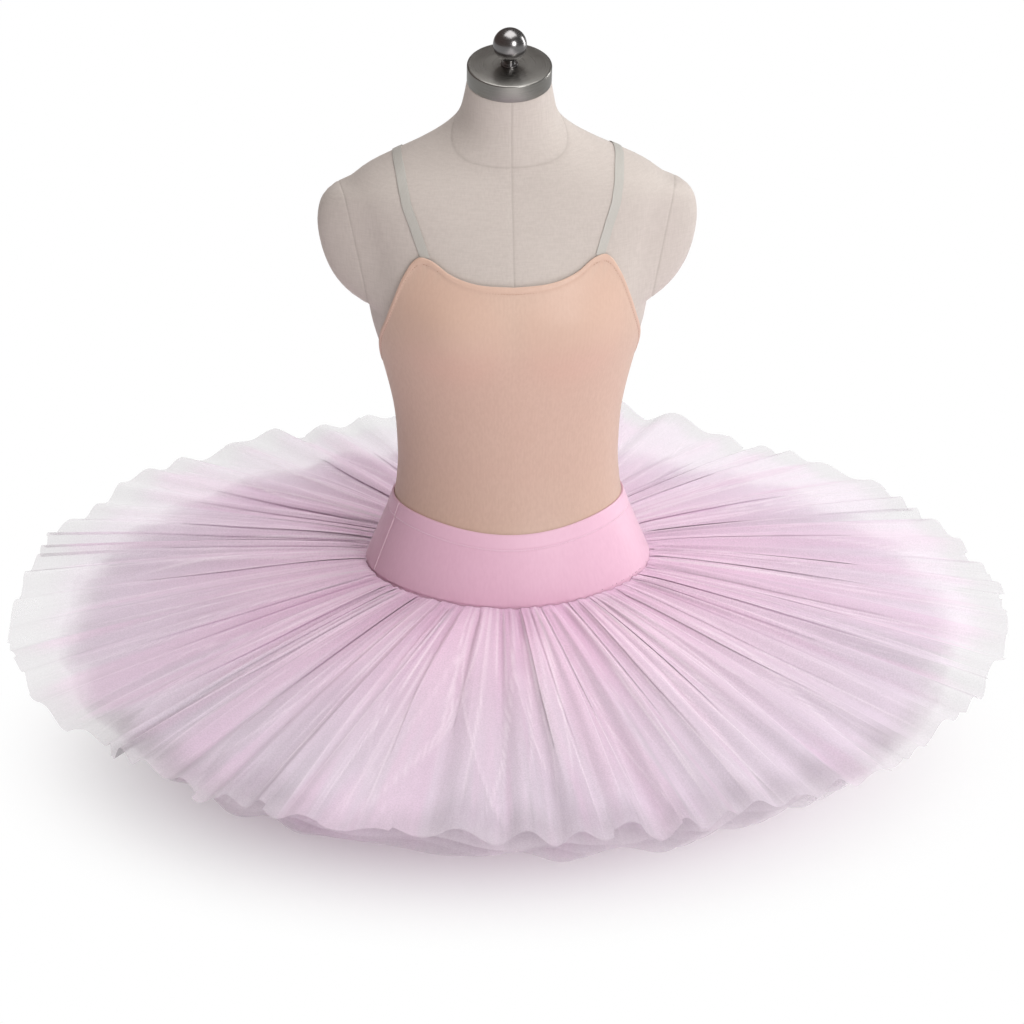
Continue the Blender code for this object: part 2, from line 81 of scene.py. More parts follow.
Section = namedtuple("Section", "height half_width front back centre_y lean corner")
FORM_SECTIONS = (
    Section(0.000, 0.1500, 0.0980, 0.1060, 0.0000, 0.0, 1.00),  # flat base
    Section(0.006, 0.1560, 0.1030, 0.1110, 0.0000, 0.0, 1.00),
    Section(0.070, 0.1625, 0.1080, 0.1170, 0.0000, 0.0, 1.00),
    Section(0.140, 0.1640, 0.1110, 0.1190, 0.0000, 0.0, 1.00),  # hips
    Section(0.180, 0.1560, 0.1150, 0.1160, 0.0000, 0.0, 1.00),
    Section(0.212, 0.1450, 0.1160, 0.1110, 0.0000, 0.0, 1.00),
    Section(0.250, 0.1295, 0.1055, 0.1000, 0.0000, 0.0, 1.00),
    Section(0.283, 0.1163, 0.0935, 0.0870, 0.0000, 0.0, 1.00),
    Section(0.310, 0.1124, 0.0880, 0.0800, 0.0000, 0.0, 1.00),
    Section(WAIST, 0.1115, 0.0860, 0.0770, 0.0000, 0.0, 1.00),
    Section(0.384, 0.1150, 0.0895, 0.0820, 0.0000, 0.0, 1.00),
    Section(0.439, 0.1272, 0.1015, 0.0900, 0.0000, 0.0, 1.00),
    Section(0.475, 0.1375, 0.1125, 0.0945, 0.0000, 0.0, 1.00),  # bust
    Section(0.502, 0.1425, 0.1135, 0.0960, 0.0000, 0.0, 1.00),
    Section(0.530, 0.1475, 0.1070, 0.0960, 0.0000, 0.0, 1.00),
    Section(0.562, 0.1530, 0.0960, 0.0930, 0.0000, 0.0, 0.99),
    Section(0.590, 0.1590, 0.0850, 0.0880, 0.0000, 0.0, 0.92),
    Section(0.610, 0.1625, 0.0770, 0.0830, 0.0000, 0.0, 0.86),
    Section(0.622, 0.1590, 0.0720, 0.0790, 0.0000, 0.0, 0.84),  # shoulder tips
    Section(0.635, 0.1430, 0.0670, 0.0740, 0.0000, 0.0, 0.84),
    Section(0.648, 0.1190, 0.0630, 0.0690, 0.0000, 1.0, 0.98),
    Section(0.660, 0.0940, 0.0600, 0.0640, -0.0020, 3.0, 1.08),
    Section(0.672, 0.0710, 0.0570, 0.0580, -0.0050, 7.0, 1.08),
    Section(0.684, 0.0555, 0.0520, 0.0510, -0.0090, 11.0, 1.00),
    Section(0.696, 0.0485, 0.0475, 0.0460, -0.0130, 14.0, 1.00),
    Section(0.710, 0.0450, 0.0440, 0.0430, -0.0180, 16.0, 1.00),
    Section(0.730, 0.0415, 0.0405, 0.0405, -0.0238, 16.0, 1.00),  # under the neck cap
)

# The bust: the form swells on each side of its front, round this height and angle.
BUST_HEIGHT = 0.496
BUST_HALF_HEIGHT = 0.040
BUST_ANGLE = math.radians(27)
BUST_HALF_ANGLE = math.radians(17)
BUST_SWELL = 0.0045
# Shoulder caps: the form swells to each side round this height.
CAP_HEIGHT = 0.562
CAP_HALF_HEIGHT = 0.060
CAP_BULGE = 0.036
CAP_HALF_ANGLE = math.radians(33)
ARMHOLE_TOP = Vector((0.1680, 0.0000, 0.6200))
ARMHOLE_FRONT = Vector((0.1550, -0.0450, 0.5750))
ARMHOLE_BOTTOM = Vector((0.1465, 0.0000, 0.5050))
ARMHOLE_CUT_FROM = 0.40
NECK_SEAM_FRONT = Vector((0.0, -0.0630, 0.6520))
NECK_SEAM_SLOPE = math.radians(31.7)

STEEL_CAP_RADIUS = 0.0418
STEEL_CAP_THICKNESS = 0.0182
STEEL_CAP_EDGE = 0.0016
STEM_RADIUS = 0.0049
STEM_FOOT_RADIUS = 0.0085
STEM_FOOT_THICKNESS = 0.0015
BALL_RADIUS = 0.0166
BALL_CENTRE = 0.0222

Edge = namedtuple("Edge", "angle height")
NECKLINE = (
    Edge(0, 0.5430),
    Edge(14, 0.5455),
    Edge(24, 0.5535),
    Edge(31, 0.5655),  # the strap is sewn on between here
    Edge(37, 0.5665),  # and here
    Edge(44, 0.5500),
    Edge(53, 0.5200),
    Edge(64, 0.4890),
    Edge(90, 0.4380),  # underarm
    Edge(118, 0.4360),
    Edge(141, 0.4500),  # the strap's other end
    Edge(149, 0.4500),
    Edge(162, 0.4360),
    Edge(180, 0.4320),
)
NECK_BAND = 0.0066
NECK_TURN = 0.0007
BASQUE_TOP = 0.285
BASQUE_TOP_DIP = 0.010
BASQUE_HEM = 0.212
BASQUE_HEM_DIP = 0.006
CASING = 0.0150
CASING_TURN = 0.0008
TURN_STEP = 0.0008
BASQUE_TWIST = 2 * TURN / FORM_COLUMNS  # the basque sits turned by this much on the form
KNICKERS_FOOT = 0.150

STRAP_WIDTH = 0.0096
STRAP_PATH = (
    Edge(33.7, 0.5662),
    Edge(34.4, 0.5900),
    Edge(35.2, 0.6100),
    Edge(38.8, 0.6260),
    Edge(49.0, 0.6385),
    Edge(68.0, 0.6485),
    Edge(90.0, 0.6522),  # on top of the shoulder
    Edge(112.0, 0.6485),
    Edge(132.0, 0.6380),
    Edge(143.0, 0.6170),
    Edge(143.6, 0.5850),
    Edge(143.8, 0.5450),
    Edge(144.6, 0.5000),
    Edge(145.0, 0.4507),
)

Layer = namedtuple("Layer", "name pleats rim_radius row_height rim_height row_wave rim_wave shift")
NET_LAYERS = (
    Layer("net_top", 64, 0.525, 0.2094, 0.1600, 0.0011, 0.0042, 0.00),
    Layer("net_second", 30, 0.470, 0.1995, 0.1450, 0.0014, 0.0040, 0.30),
    Layer("net_third", 30, 0.464, 0.1900, 0.1362, 0.0014, 0.0045, 0.44),
    Layer("net_fourth", 30, 0.455, 0.1805, 0.1274, 0.0014, 0.0045, 0.58),
    Layer("net_lowest", 30, 0.444, 0.1710, 0.1190, 0.0014, 0.0045, 0.72),
)
NET_FALL = 1.3
# The strip that each layer is gathered from: as long as its open rim, as wide as it reaches
NET_STRIPS = {
    "net_top": (3.62, 0.395),
    "net_second": (3.09, 0.349),
    "net_third": (3.07, 0.341),
    "net_fourth": (3.01, 0.330),
    "net_lowest": (2.94, 0.318),
}
NET_SIDE_DROOP = 0.003
Ripple = namedtuple("Ripple", "count amount start")
PLEAT_SPACING = (Ripple(5, 0.0058, 0.10), Ripple(13, 0.0026, 0.37))
RIM_SWAY = (Ripple(6, 0.0040, 0.30), Ripple(15, 0.0022, 0.72))
PLEAT_DEPTH = (Ripple(7, 0.20, 0.16), Ripple(17, 0.20, 0.61), Ripple(29, 0.15, 0.30))
FRONT_POINTS = 0.45  # how much deeper the top layer's pleats hang at the centre front
RIM_REACH = (Ripple(9, 0.0050, 0.08), Ripple(23, 0.0045, 0.45), Ripple(41, 0.0030, 0.20))
LOWER_FRONT_REACH = 0.085  # how much further the lower layers reach at the centre front
Flute = namedtuple("Flute", "angle rise half_width")
FLUTES = (
    Flute(161.5, 0.020, 3.0),
    Flute(154.5, 0.018, 3.6),
    Flute(194.5, 0.010, 4.0),
    Flute(212.0, 0.010, 4.5),
    Flute(226.0, 0.012, 3.2),
    Flute(232.0, 0.011, 3.2),
)

# ---------------------------------------------------------------- sizes of the fine work

FIGURE_COLUMNS = 144
FIGURE_RING = 0.0045  # height between the rings of the form's cover
SEAM_LOOPS = (-0.0022, -0.0008, 0.0, 0.0008, 0.0022)
SEAM_TUCK = 0.0005
SEAM_WIDTH = 0.0008
PANEL_COLUMNS = 100
BODICE_ROWS = 84
NECK_ROWS = 8
BASQUE_ROWS = 40
CASING_ROWS = 12
STEEL_STEPS = 96

# Wedges of uneven tone in the net: how many, how fast they change outwards, and how strong
TONE_WEDGES = ((5.0, 2.4, 0.70), (15.0, 4.0, 0.75), (48.0, 6.0, 0.35))

# Small folds in each net layer, besides its pleats; widths and drift are shares of a turn
Gathers = namedtuple(
    "Gathers", "columns rows count turned under narrow wide drift waves height reach seed"
)
LOWER_GATHERS = Gathers(
    1200, 22, 90, 60, (0.0140, 0.0240), 0.0070, 0.0220, 0.0080, 78, 0.0021, 0.42, 37
)
NET_GATHERS = {
    "net_top": Gathers(
        2700, 36, 240, 108, (0.0095, 0.0150), 0.0080, 0.0270, 0.0110, 170, 0.0014, 0.34, 11
    ),
    "net_second": Gathers(
        1400, 26, 120, 64, (0.0130, 0.0230), 0.0070, 0.0220, 0.0080, 105, 0.0017, 0.40, 23
    ),
    "net_third": LOWER_GATHERS,
    "net_fourth": LOWER_GATHERS._replace(seed=41),
    "net_lowest": LOWER_GATHERS._replace(seed=53),
}
ROWS_DRAWN_IN = 1.40  # the rows lie closer where the net is gathered
LINE_SHARE = 0.45  # of the folds are narrow ones, which show as a line only
FROM_ROOT = -0.06  # where a fold starts that is sewn in at the root
TURNED_END = (0.75, 1.30)
RIM_PANEL = (0.006, 0.024)  # the narrowest and widest, in shares of a turn
RIM_STEP = 0.011  # in shares of the rim's radius
FRONT_RIM_STEP = 1.3  # how much larger the steps are at the centre front
ROOT_SMOOTH = 0.045  # how far out the gathers take to rise from the seam
ROOT_WAVE = 0.3  # how much of the pleats' wave is left at the seam
FOLD_EDGE = 0.0008
FOLD_RISE = 0.0004
TURNED_HALF = 0.25  # of a fold's width, half of what is turned under
TURNED = 2.5  # over 1, the cloth goes back under itself
TURNED_OPEN = (0.35, 0.95)  # where the turned folds open out
TURNED_EDGE = 0.6  # how far the edge that shows lies from the fold's middle
TURNED_LIFT = 0.0008
STRAP_CLEAR = 0.0005  # the strap draws itself this close to the form
HEM_STITCHED = (math.radians(30), math.radians(70))  # where the hem is tacked, and how far on
BUST_FULLER = 0.45  # of the form's swell, which the jersey adds to it
PIPING_HALF_WIDTH = 0.0007
PIPING_RISE = 0.0006
PIPING_SIDES = 8
PIPING_ROWS = 60
STRAP_COLUMNS = 8
STRAP_STEPS = 150
BAND_TOP = 0.030  # how far the hidden band goes on up under the basque
# How long and how wide a stitch is
NECK_STITCH = (0.0026, 0.0009)
CASING_STITCH = (0.0027, 0.0009)
HEM_STITCH = (0.0014, 0.0008)
HEM_TACKED = 0.25  # of the hem's stitches show

# How large the cloth of each piece is in its pattern
COVER_WIDTH = 0.8
BODICE_PANELS = (("front", -TURN / 4, (0.37, 0.25)), ("back", TURN / 4, (0.35, 0.16)))
BASQUE_CLOTH = (0.37, 0.078)
BAND_CLOTH = (0.80, 0.09)
STRAP_CLOTH = (STRAP_WIDTH, 0.33)
PIPING_CLOTH = (0.004, 0.08)


# ---------------------------------------------------------------- the form's surface


def smooth_between(rows, at, key, field):
    """The value of a table's field between its rows, on a smooth curve through them."""
    last = len(rows) - 1
    index = 0
    while index < last - 1 and at > getattr(rows[index + 1], key):
        index += 1
    low = rows[index]
    high = rows[index + 1]
    span = getattr(high, key) - getattr(low, key)
    share = min(1.0, max(0.0, (at - getattr(low, key)) / span))

    def slope(middle):
        before = rows[max(0, middle - 1)]
        after = rows[min(last, middle + 1)]
        rise = getattr(after, field) - getattr(before, field)
        return rise / (getattr(after, key) - getattr(before, key))

    start = getattr(low, field)
    end = getattr(high, field)
    cube = share**3
    square = share**2
    return (
        (2 * cube - 3 * square + 1) * start
        + (cube - 2 * square + share) * span * slope(index)
        + (3 * square - 2 * cube) * end
        + (cube - square) * span * slope(index + 1)
    )


def cap_bulge(angle, height):
    """How far the shoulder caps stand out from the sides."""
    up = (height - CAP_HEIGHT) / CAP_HALF_HEIGHT
    if abs(up) >= 1:
        return 0.0
    side = math.acos(min(1.0, abs(math.sin(angle)))) / CAP_HALF_ANGLE
    if side >= 1:
        return 0.0
    return CAP_BULGE * math.sqrt(1 - up**2) * (1 - side**2) ** 2


def bust_swell(angle, height):
    """How far the two sides of the bust stand out from the front."""
    away = math.acos(max(-1.0, min(1.0, math.cos(angle))))
    across = (away - BUST_ANGLE) / BUST_HALF_ANGLE
    up = (height - BUST_HEIGHT) / BUST_HALF_HEIGHT
    return BUST_SWELL * math.exp(-(across**2) - up**2)


def rounded(value, corner):
    """A sine or cosine raised to a power, with its sign kept."""
    return math.copysign(abs(value) ** corner, value)


@lru_cache(maxsize=None)
def form_size(field, height):
    return smooth_between(FORM_SECTIONS, height, "height", field)


def form_point(angle, height):
    """A point of the dress form's surface."""
    swell = bust_swell(angle, height)
    half_width = form_size("half_width", height) + cap_bulge(angle, height) + swell
    depth = form_size("front" if math.cos(angle) > 0 else "back", height) + swell
    corner = form_size("corner", height)
    forward = -depth * rounded(math.cos(angle), corner)
    lean = math.radians(form_size("lean", height))
    return Vector(
        (
            half_width * rounded(math.sin(angle), corner),
            form_size("centre_y", height) + forward * math.cos(lean),
            height + forward * math.sin(lean),
        )
    )


def form_normal(angle, height):
    """The direction straight out of the form's surface."""
    around = form_point(angle + STEP, height) - form_point(angle - STEP, height)
    upward = form_point(angle, height + STEP) - form_point(angle, height - STEP)
    return around.cross(upward).normalized()


def on_form(angle, height, lift):
    return form_point(angle, height) + form_normal(angle, height) * lift


def edge_height(edge, angle):
    """The height of the neckline or of the strap at an angle, the same on both sides."""
    away = math.degrees(math.acos(max(-1.0, min(1.0, math.cos(angle)))))
    return smooth_between(edge, away, "angle", "height")


def front_dip(angle):
    """1 at the centre front, falling to 0 towards the sides."""
    return max(0.0, math.cos(angle)) ** 4


def basque_hem(angle):
    return BASQUE_HEM - BASQUE_HEM_DIP * front_dip(angle)


def basque_top(angle):
    return BASQUE_TOP - BASQUE_TOP_DIP * front_dip(angle)


def ease(low, high, value):
    """0 below low and 1 above high, with a smooth rise between them."""
    share = min(1.0, max(0.0, (value - low) / (high - low)))
    return share * share * (3 - 2 * share)


# ---------------------------------------------------------------- finishes


STEEP = 0.65  # how far a face may overhang and still be shaded as if it faced up
STREAKS = (120.0, 120.0, 3.0)  # how many lie round the net, by 2 pi, and along it


class Finish:
    """A material under construction: adds nodes and joins them."""

    def __init__(self, name, roughness, metallic=0.0):
        self.material = bpy.data.materials.new(name)
        self.material.use_nodes = True
        self.tree = self.material.node_tree
        self.shader = self.tree.nodes["Principled BSDF"]
        self.shader.inputs["Roughness"].default_value = roughness
        self.shader.inputs["Metallic"].default_value = metallic

    def join(self, source, target):
        self.tree.links.new(source, target)

    def put(self, socket, value):
        """Joins a socket to another node's output, or sets it to a plain value."""
        if isinstance(value, bpy.types.NodeSocket):
            self.join(value, socket)
        else:
            socket.default_value = value

    def add(self, kind, **settings):
        node = self.tree.nodes.new("ShaderNode" + kind)
        for name, value in settings.items():
            setattr(node, name, value)
        return node

    def maths(self, operation, first, second=0.0, clamp=False):
        node = self.add("Math", operation=operation, use_clamp=clamp)
        self.put(node.inputs[0], first)
        self.put(node.inputs[1], second)
        return node.outputs[0]

    def vector(self, operation, first, second=(0.0, 0.0, 0.0)):
        node = self.add("VectorMath", operation=operation)
        self.put(node.inputs[0], first)
        self.put(node.inputs[1], second)
        return node.outputs["Value" if operation == "LENGTH" else "Vector"]

    def mix(self, share, first, second):
        node = self.add("Mix", data_type="RGBA")
        self.put(node.inputs["Factor"], share)
        colours = [socket for socket in node.inputs if socket.type == "RGBA"]
        for socket, value in zip(colours, (first, second)):
            self.put(socket, (*value, 1.0) if isinstance(value, tuple) else value)
        return next(socket for socket in node.outputs if socket.type == "RGBA")

    def between(self, value, low, high, start=0.0, end=1.0):
        """The value's place between low and high, given as a place between start and end."""
        node = self.add("MapRange", interpolation_type="SMOOTHSTEP")
        for socket, number in zip(node.inputs, (value, low, high, start, end)):
            self.put(socket, number)
        return node.outputs["Result"]

    def noise(self, where, scale, detail=2.0, roughness=0.5):
        node = self.add("TexNoise")
        self.put(node.inputs["Vector"], where)
        self.put(node.inputs["Scale"], scale)
        self.put(node.inputs["Detail"], detail)
        self.put(node.inputs["Roughness"], roughness)
        return node.outputs["Fac"]

    def threads(self, where, scale, direction, distortion=1.2):
        """Fine parallel threads of a weave or knit."""
        node = self.add("TexWave", wave_type="BANDS", bands_direction=direction)
        self.put(node.inputs["Vector"], where)
        self.put(node.inputs["Scale"], scale)
        self.put(node.inputs["Distortion"], distortion)
        self.put(node.inputs["Detail"], 1.0)
        self.put(node.inputs["Detail Scale"], 2.0)
        return node.outputs["Fac"]

    def place(self):
        return self.add("TexCoord").outputs["Object"]

    def cloth(self):
        """Metres across and along the cloth."""
        return self.add("UVMap", uv_map="cloth").outputs["UV"]

    def measure(self, name):
        return self.add("Attribute", attribute_name=name).outputs["Fac"]

    def direction(self, name):
        return self.add("Attribute", attribute_name=name).outputs["Vector"]

    def bump(self, height, strength, distance):
        node = self.add("Bump")
        self.put(node.inputs["Height"], height)
        self.put(node.inputs["Strength"], strength)
        self.put(node.inputs["Distance"], distance)
        self.join(node.outputs["Normal"], self.shader.inputs["Normal"])

    def part(self, vector, axis):
        parts = self.add("SeparateXYZ")
        self.join(vector, parts.inputs[0])
        return parts.outputs[axis]

    def grey(self, value):
        made = self.add("CombineXYZ")
        for socket in made.inputs:
            self.join(value, socket)
        return made.outputs[0]

    def lie_flat(self, share):
        """Shades a net as if it lay flatter than it does, as open threads scatter light."""
        normal = self.add("NewGeometry").outputs["Normal"]
        upright = self.add("CombineXYZ")
        steep = self.maths("ADD", self.part(normal, "Z"), STEEP)
        self.put(upright.inputs["Z"], self.maths("SIGN", steep))
        flat = self.vector("MULTIPLY", upright.outputs[0], (share,) * 3)
        own = self.vector("MULTIPLY", normal, (1 - share,) * 3)
        leaning = self.vector("NORMALIZE", self.vector("ADD", flat, own))
        self.join(leaning, self.shader.inputs["Normal"])

    def colour(self, value):
        self.join(value, self.shader.inputs["Base Color"])

    def rough(self, value):
        self.join(value, self.shader.inputs["Roughness"])

    def opacity(self, value):
        self.join(value, self.shader.inputs["Alpha"])

    def sheen(self, weight, roughness, tint):
        self.shader.inputs["Sheen Weight"].default_value = weight
        self.shader.inputs["Sheen Roughness"].default_value = roughness
        self.shader.inputs["Sheen Tint"].default_value = (*tint, 1.0)


def linen_finish():
    """Warm grey plain weave, darker in the seams."""
    f = Finish("form_linen", 0.88)
    where = f.place()
    slubs = f.noise(f.vector("MULTIPLY", where, (620.0, 620.0, 90.0)), 1.0, 3.0)
    weft = f.noise(f.vector("MULTIPLY", where, (100.0, 100.0, 900.0)), 1.0, 3.0)
    weave = f.maths("MULTIPLY", f.maths("ADD", slubs, weft), 0.5)
    soft = f.noise(where, 9.0, 3.0)
    cloth = f.mix(f.between(weave, 0.32, 0.68), (0.485, 0.435, 0.400), (0.540, 0.488, 0.450))
    cloth = f.mix(f.between(soft, 0.3, 0.7, 0.0, 0.22), cloth, (0.565, 0.510, 0.470))
    seam = f.measure("seam")
    f.colour(f.mix(f.maths("MULTIPLY", seam, 0.20, clamp=True), cloth, (0.22, 0.19, 0.17)))
    f.rough(f.between(weave, 0.3, 0.7, 0.92, 0.82))
    f.bump(weave, 0.35, 0.0004)
    f.sheen(0.12, 0.5, (1.0, 0.97, 0.93))
    return f.material


def jersey_finish():
    """Fine heathered stretch jersey with ribs along the body."""
    f = Finish("nude_jersey", 0.78)
    cloth = f.cloth()
    place = f.place()
    ribs = f.threads(cloth, 95.0, "X")
    heather = f.noise(f.vector("MULTIPLY", place, (420.0, 420.0, 150.0)), 1.0, 3.0, 0.65)
    mottle = f.noise(place, 26.0, 4.0, 0.6)
    colour = f.mix(f.between(heather, 0.35, 0.66), (0.590, 0.412, 0.322), (0.620, 0.440, 0.346))
    colour = f.mix(f.between(mottle, 0.35, 0.65, 0.0, 0.15), colour, (0.590, 0.396, 0.306))
    edge = f.measure("edge")
    f.colour(f.mix(f.maths("MULTIPLY", edge, 0.45, clamp=True), colour, (0.640, 0.420, 0.325)))
    f.rough(f.between(heather, 0.3, 0.7, 0.62, 0.50))
    f.bump(f.maths("ADD", f.maths("MULTIPLY", ribs, 0.5), heather), 0.12, 0.0003)
    f.shader.inputs["Specular IOR Level"].default_value = 0.70
    f.shader.inputs["Coat Weight"].default_value = 0.25
    f.shader.inputs["Coat Roughness"].default_value = 0.45
    return f.material


def satin_finish():
    """Smooth stretch satin, with faint ribs along the body."""
    f = Finish("pink_satin", 0.46)
    cloth = f.cloth()
    ribs = f.threads(cloth, 120.0, "X")
    grain = f.noise(f.vector("MULTIPLY", f.place(), (330.0, 330.0, 90.0)), 1.0, 2.0)
    soft = f.noise(f.place(), 16.0, 2.0)
    colour = f.mix(f.between(grain, 0.2, 0.8), (0.765, 0.480, 0.605), (0.795, 0.510, 0.635))
    colour = f.mix(f.between(soft, 0.35, 0.65, 0.0, 0.3), colour, (0.785, 0.515, 0.635))
    edge = f.measure("edge")
    f.colour(f.mix(f.maths("MULTIPLY", edge, 0.35, clamp=True), colour, (0.830, 0.550, 0.675)))
    f.rough(f.between(grain, 0.3, 0.7, 0.52, 0.42))
    f.bump(f.maths("ADD", f.maths("MULTIPLY", ribs, 0.6), grain), 0.06, 0.0002)
    f.sheen(0.30, 0.30, (1.0, 0.92, 0.96))
    f.shader.inputs["Specular IOR Level"].default_value = 0.40
    return f.material


def elastic_finish():
    """Narrow plush elastic, ribbed along its length."""
    f = Finish("satin_elastic", 0.42)
    cloth = f.cloth()
    ribs = f.threads(cloth, 230.0, "X")
    picots = f.threads(cloth, 260.0, "Y")
    grain = f.noise(f.vector("MULTIPLY", cloth, (900.0, 240.0, 1.0)), 1.0, 2.0)
    colour = f.mix(f.between(ribs, 0.2, 0.8), (0.440, 0.426, 0.392), (0.492, 0.478, 0.442))
    f.colour(f.mix(f.between(grain, 0.3, 0.7, 0.0, 0.4), colour, (0.486, 0.472, 0.436)))
    f.rough(f.between(grain, 0.3, 0.7, 0.48, 0.38))
    f.bump(f.maths("ADD", ribs, f.maths("MULTIPLY", picots, 0.5)), 0.30, 0.0003)
    f.sheen(0.30, 0.3, (1.0, 1.0, 0.97))
    return f.material


def net_finish(name, deep, pale, rim, close, middle, sheer, fading_rim=False):
    """Stiff tulle: pink and close where it is gathered, paler and sheerer at its rim.

    Its folds lie on each other in long panels, whose edges show as thin pale lines. Towards the rim
    it is greyed with painted shade.
    """
    f = Finish(name, 0.62)
    spread = f.measure("spread")
    crease = f.measure("crease")
    doubled = f.measure("doubled")
    tone = f.measure("tone")
    round_way = f.direction("round_way")
    streaks = f.noise(f.vector("MULTIPLY", round_way, STREAKS), 1.0, 2.0, 0.6)
    grain = f.noise(f.place(), 620.0, 2.0, 0.7)

    front = f.between(f.part(round_way, "X"), 0.45, 0.95)
    layers = f.maths("ADD", f.maths("MULTIPLY", doubled, 0.50), f.maths("MULTIPLY", tone, 0.30))
    layers = f.maths("ADD", layers, f.maths("MULTIPLY", streaks, 0.20))
    single = f.maths("SUBTRACT", 1.0, f.between(layers, 0.20, 0.50))
    outer = f.between(spread, 0.30, 0.95)
    # Where the sheer band starts is uneven, as some folds run further than others.
    uneven = f.maths("MULTIPLY", f.maths("SUBTRACT", layers, 0.4), -0.15)
    reached = f.maths("ADD", spread, uneven)
    band = f.between(reached, 0.84, 0.98)

    colour = f.mix(f.between(spread, 0.0, 0.90), deep, pale)
    colour = f.mix(f.between(tone, 0.45, 0.90, 0.0, 0.45), colour, deep)
    # Painted shade: towards the rim, the single-layer parts are greyed with rim, the grey of shade
    # seen through the net.
    colour = f.mix(f.maths("MULTIPLY", f.maths("MULTIPLY", single, outer), 0.34), colour, rim)
    colour = f.mix(f.maths("MULTIPLY", doubled, 0.32), colour, (0.94, 0.82, 0.92))
    # Painted shade: the sheer band is greyed with rim as well, less at the centre front, where the
    # shadowed floor shows through for real.
    painted_shade_share = f.maths("SUBTRACT", 1.0, f.maths("MULTIPLY", front, 0.35 if fading_rim else 0.75))
    colour = f.mix(f.maths("MULTIPLY", f.maths("MULTIPLY", band, 0.85), painted_shade_share), colour, rim)
    lines = f.maths("MULTIPLY", crease, f.between(band, 0.0, 1.0, 1.0, 0.5))
    colour = f.mix(f.maths("MULTIPLY", lines, 0.50), colour, (0.97, 0.91, 0.96))
    dim = f.between(grain, 0.30, 0.70, 0.94, 1.05)
    f.colour(f.vector("MULTIPLY", colour, f.grey(dim)))

    opacity = f.between(spread, 0.0, 0.84, close, middle)
    opacity = f.maths("ADD", opacity, f.between(reached, 0.84, 0.98, 0.0, sheer - middle))
    lift = f.maths("MULTIPLY", f.maths("SUBTRACT", layers, 0.42), 0.30)
    opacity = f.maths("ADD", opacity, lift)
    opacity = f.maths("ADD", opacity, f.maths("MULTIPLY", lines, 0.20))
    opacity = f.maths("ADD", opacity, f.between(grain, 0.30, 0.70, -0.02, 0.02))
    if fading_rim:
        faded = f.between(reached, 0.92, 1.0, 1.0, 0.40)
        kept = f.maths("MAXIMUM", faded, f.maths("MULTIPLY", front, 0.80))
        opacity = f.maths("MULTIPLY", opacity, kept)
    f.opacity(f.maths("MINIMUM", opacity, 0.97))
    f.lie_flat(0.95)
    return f.material


def steel_finish(name, roughness, tint):
    """Steel brushed round its axis."""
    f = Finish(name, roughness, 1.0)
    turn_back = f.add("Mapping", vector_type="TEXTURE")
    axis = neck_axis()
    turn_back.inputs["Location"].default_value = axis.translation
    turn_back.inputs["Rotation"].default_value = axis.to_euler()
    f.put(turn_back.inputs["Vector"], f.place())
    parts = f.add("SeparateXYZ")
    f.join(turn_back.outputs["Vector"], parts.inputs[0])
    flat = f.vector("MULTIPLY", turn_back.outputs["Vector"], (1.0, 1.0, 0.0))
    lines = f.add("CombineXYZ")
    f.join(f.maths("MULTIPLY", f.vector("LENGTH", flat), 4200.0), lines.inputs["X"])
    f.join(f.maths("MULTIPLY", parts.outputs["Z"], 4200.0), lines.inputs["Z"])
    brushing = f.noise(lines.outputs["Vector"], 1.0, 3.0, 0.7)
    smudge = f.noise(f.place(), 60.0, 2.0)
    dark = tuple(0.82 * channel for channel in tint)
    f.colour(f.mix(f.between(brushing, 0.3, 0.7), dark, tint))
    dull = f.maths("MULTIPLY", smudge, 0.08)
    worn = f.maths("ADD", f.between(brushing, 0.3, 0.7, 0.0, 0.10), dull)
    f.rough(f.maths("ADD", worn, roughness))
    f.bump(brushing, 0.05, 0.0001)
    return f.material


def thread_finish(name, tint):
    """Twisted sewing thread."""
    f = Finish(name, 0.6)
    twist = f.noise(f.place(), 1400.0, 2.0)
    dark = tuple(0.8 * channel for channel in tint)
    f.colour(f.mix(f.between(twist, 0.3, 0.7), dark, tint))
    f.bump(twist, 0.3, 0.0001)
    f.sheen(0.2, 0.4, (1.0, 1.0, 1.0))
    return f.material


# ---------------------------------------------------------------- meshes


def finish_piece(bm, name, finish, slot, node=None, crease=50):
    """Turns a bmesh into a named piece that rides on the body and may stand for a node."""
    mesh = bpy.data.meshes.new(name)
    bm.to_mesh(mesh)
    bm.free()
    mesh.shade_smooth()
    mesh.set_sharp_from_angle(angle=math.radians(crease))
    mesh.materials.append(finish)
    piece = bpy.data.objects.new(name, mesh)
    bpy.context.scene.collection.objects.link(piece)
    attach(piece, "root")
    if node:
        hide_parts(node)
    return piece


def outwards(bm):
    """Makes a closed shell's faces point out of it."""
    bmesh.ops.recalc_face_normals(bm, faces=bm.faces)
    if bm.calc_volume(signed=True) < 0:
        bmesh.ops.reverse_faces(bm, faces=bm.faces)


def grid(columns, rows, closed, size):
    """A flat grid over 0 to 1, or a tube with no seam, with its cloth's size in its UV map."""
    bm = bmesh.new()
    cloth = bm.loops.layers.uv.new("cloth")
    bmesh.ops.create_grid(bm, x_segments=columns, y_segments=rows, size=0.5, calc_uvs=True)
    for face in bm.faces:
        for loop in face.loops:
            across, along = loop[cloth].uv
            loop[cloth].uv = (across * size[0], along * size[1])
    for vert in bm.verts:
        across = vert.co.x + 0.5
        along = vert.co.y + 0.5
        if closed:
            vert.co = (math.cos(TURN * across), math.sin(TURN * across), along)
        else:
            vert.co = (across, along, 0)
    bmesh.ops.remove_doubles(bm, verts=bm.verts, dist=TINY)
    return bm


def share_of(vert, closed):
    """Where a vertex of such a grid lies, across and along it, each from 0 to 1."""
    if closed:
        return math.atan2(vert.co.y, vert.co.x) / TURN % 1.0, vert.co.z
    return vert.co.x, vert.co.y


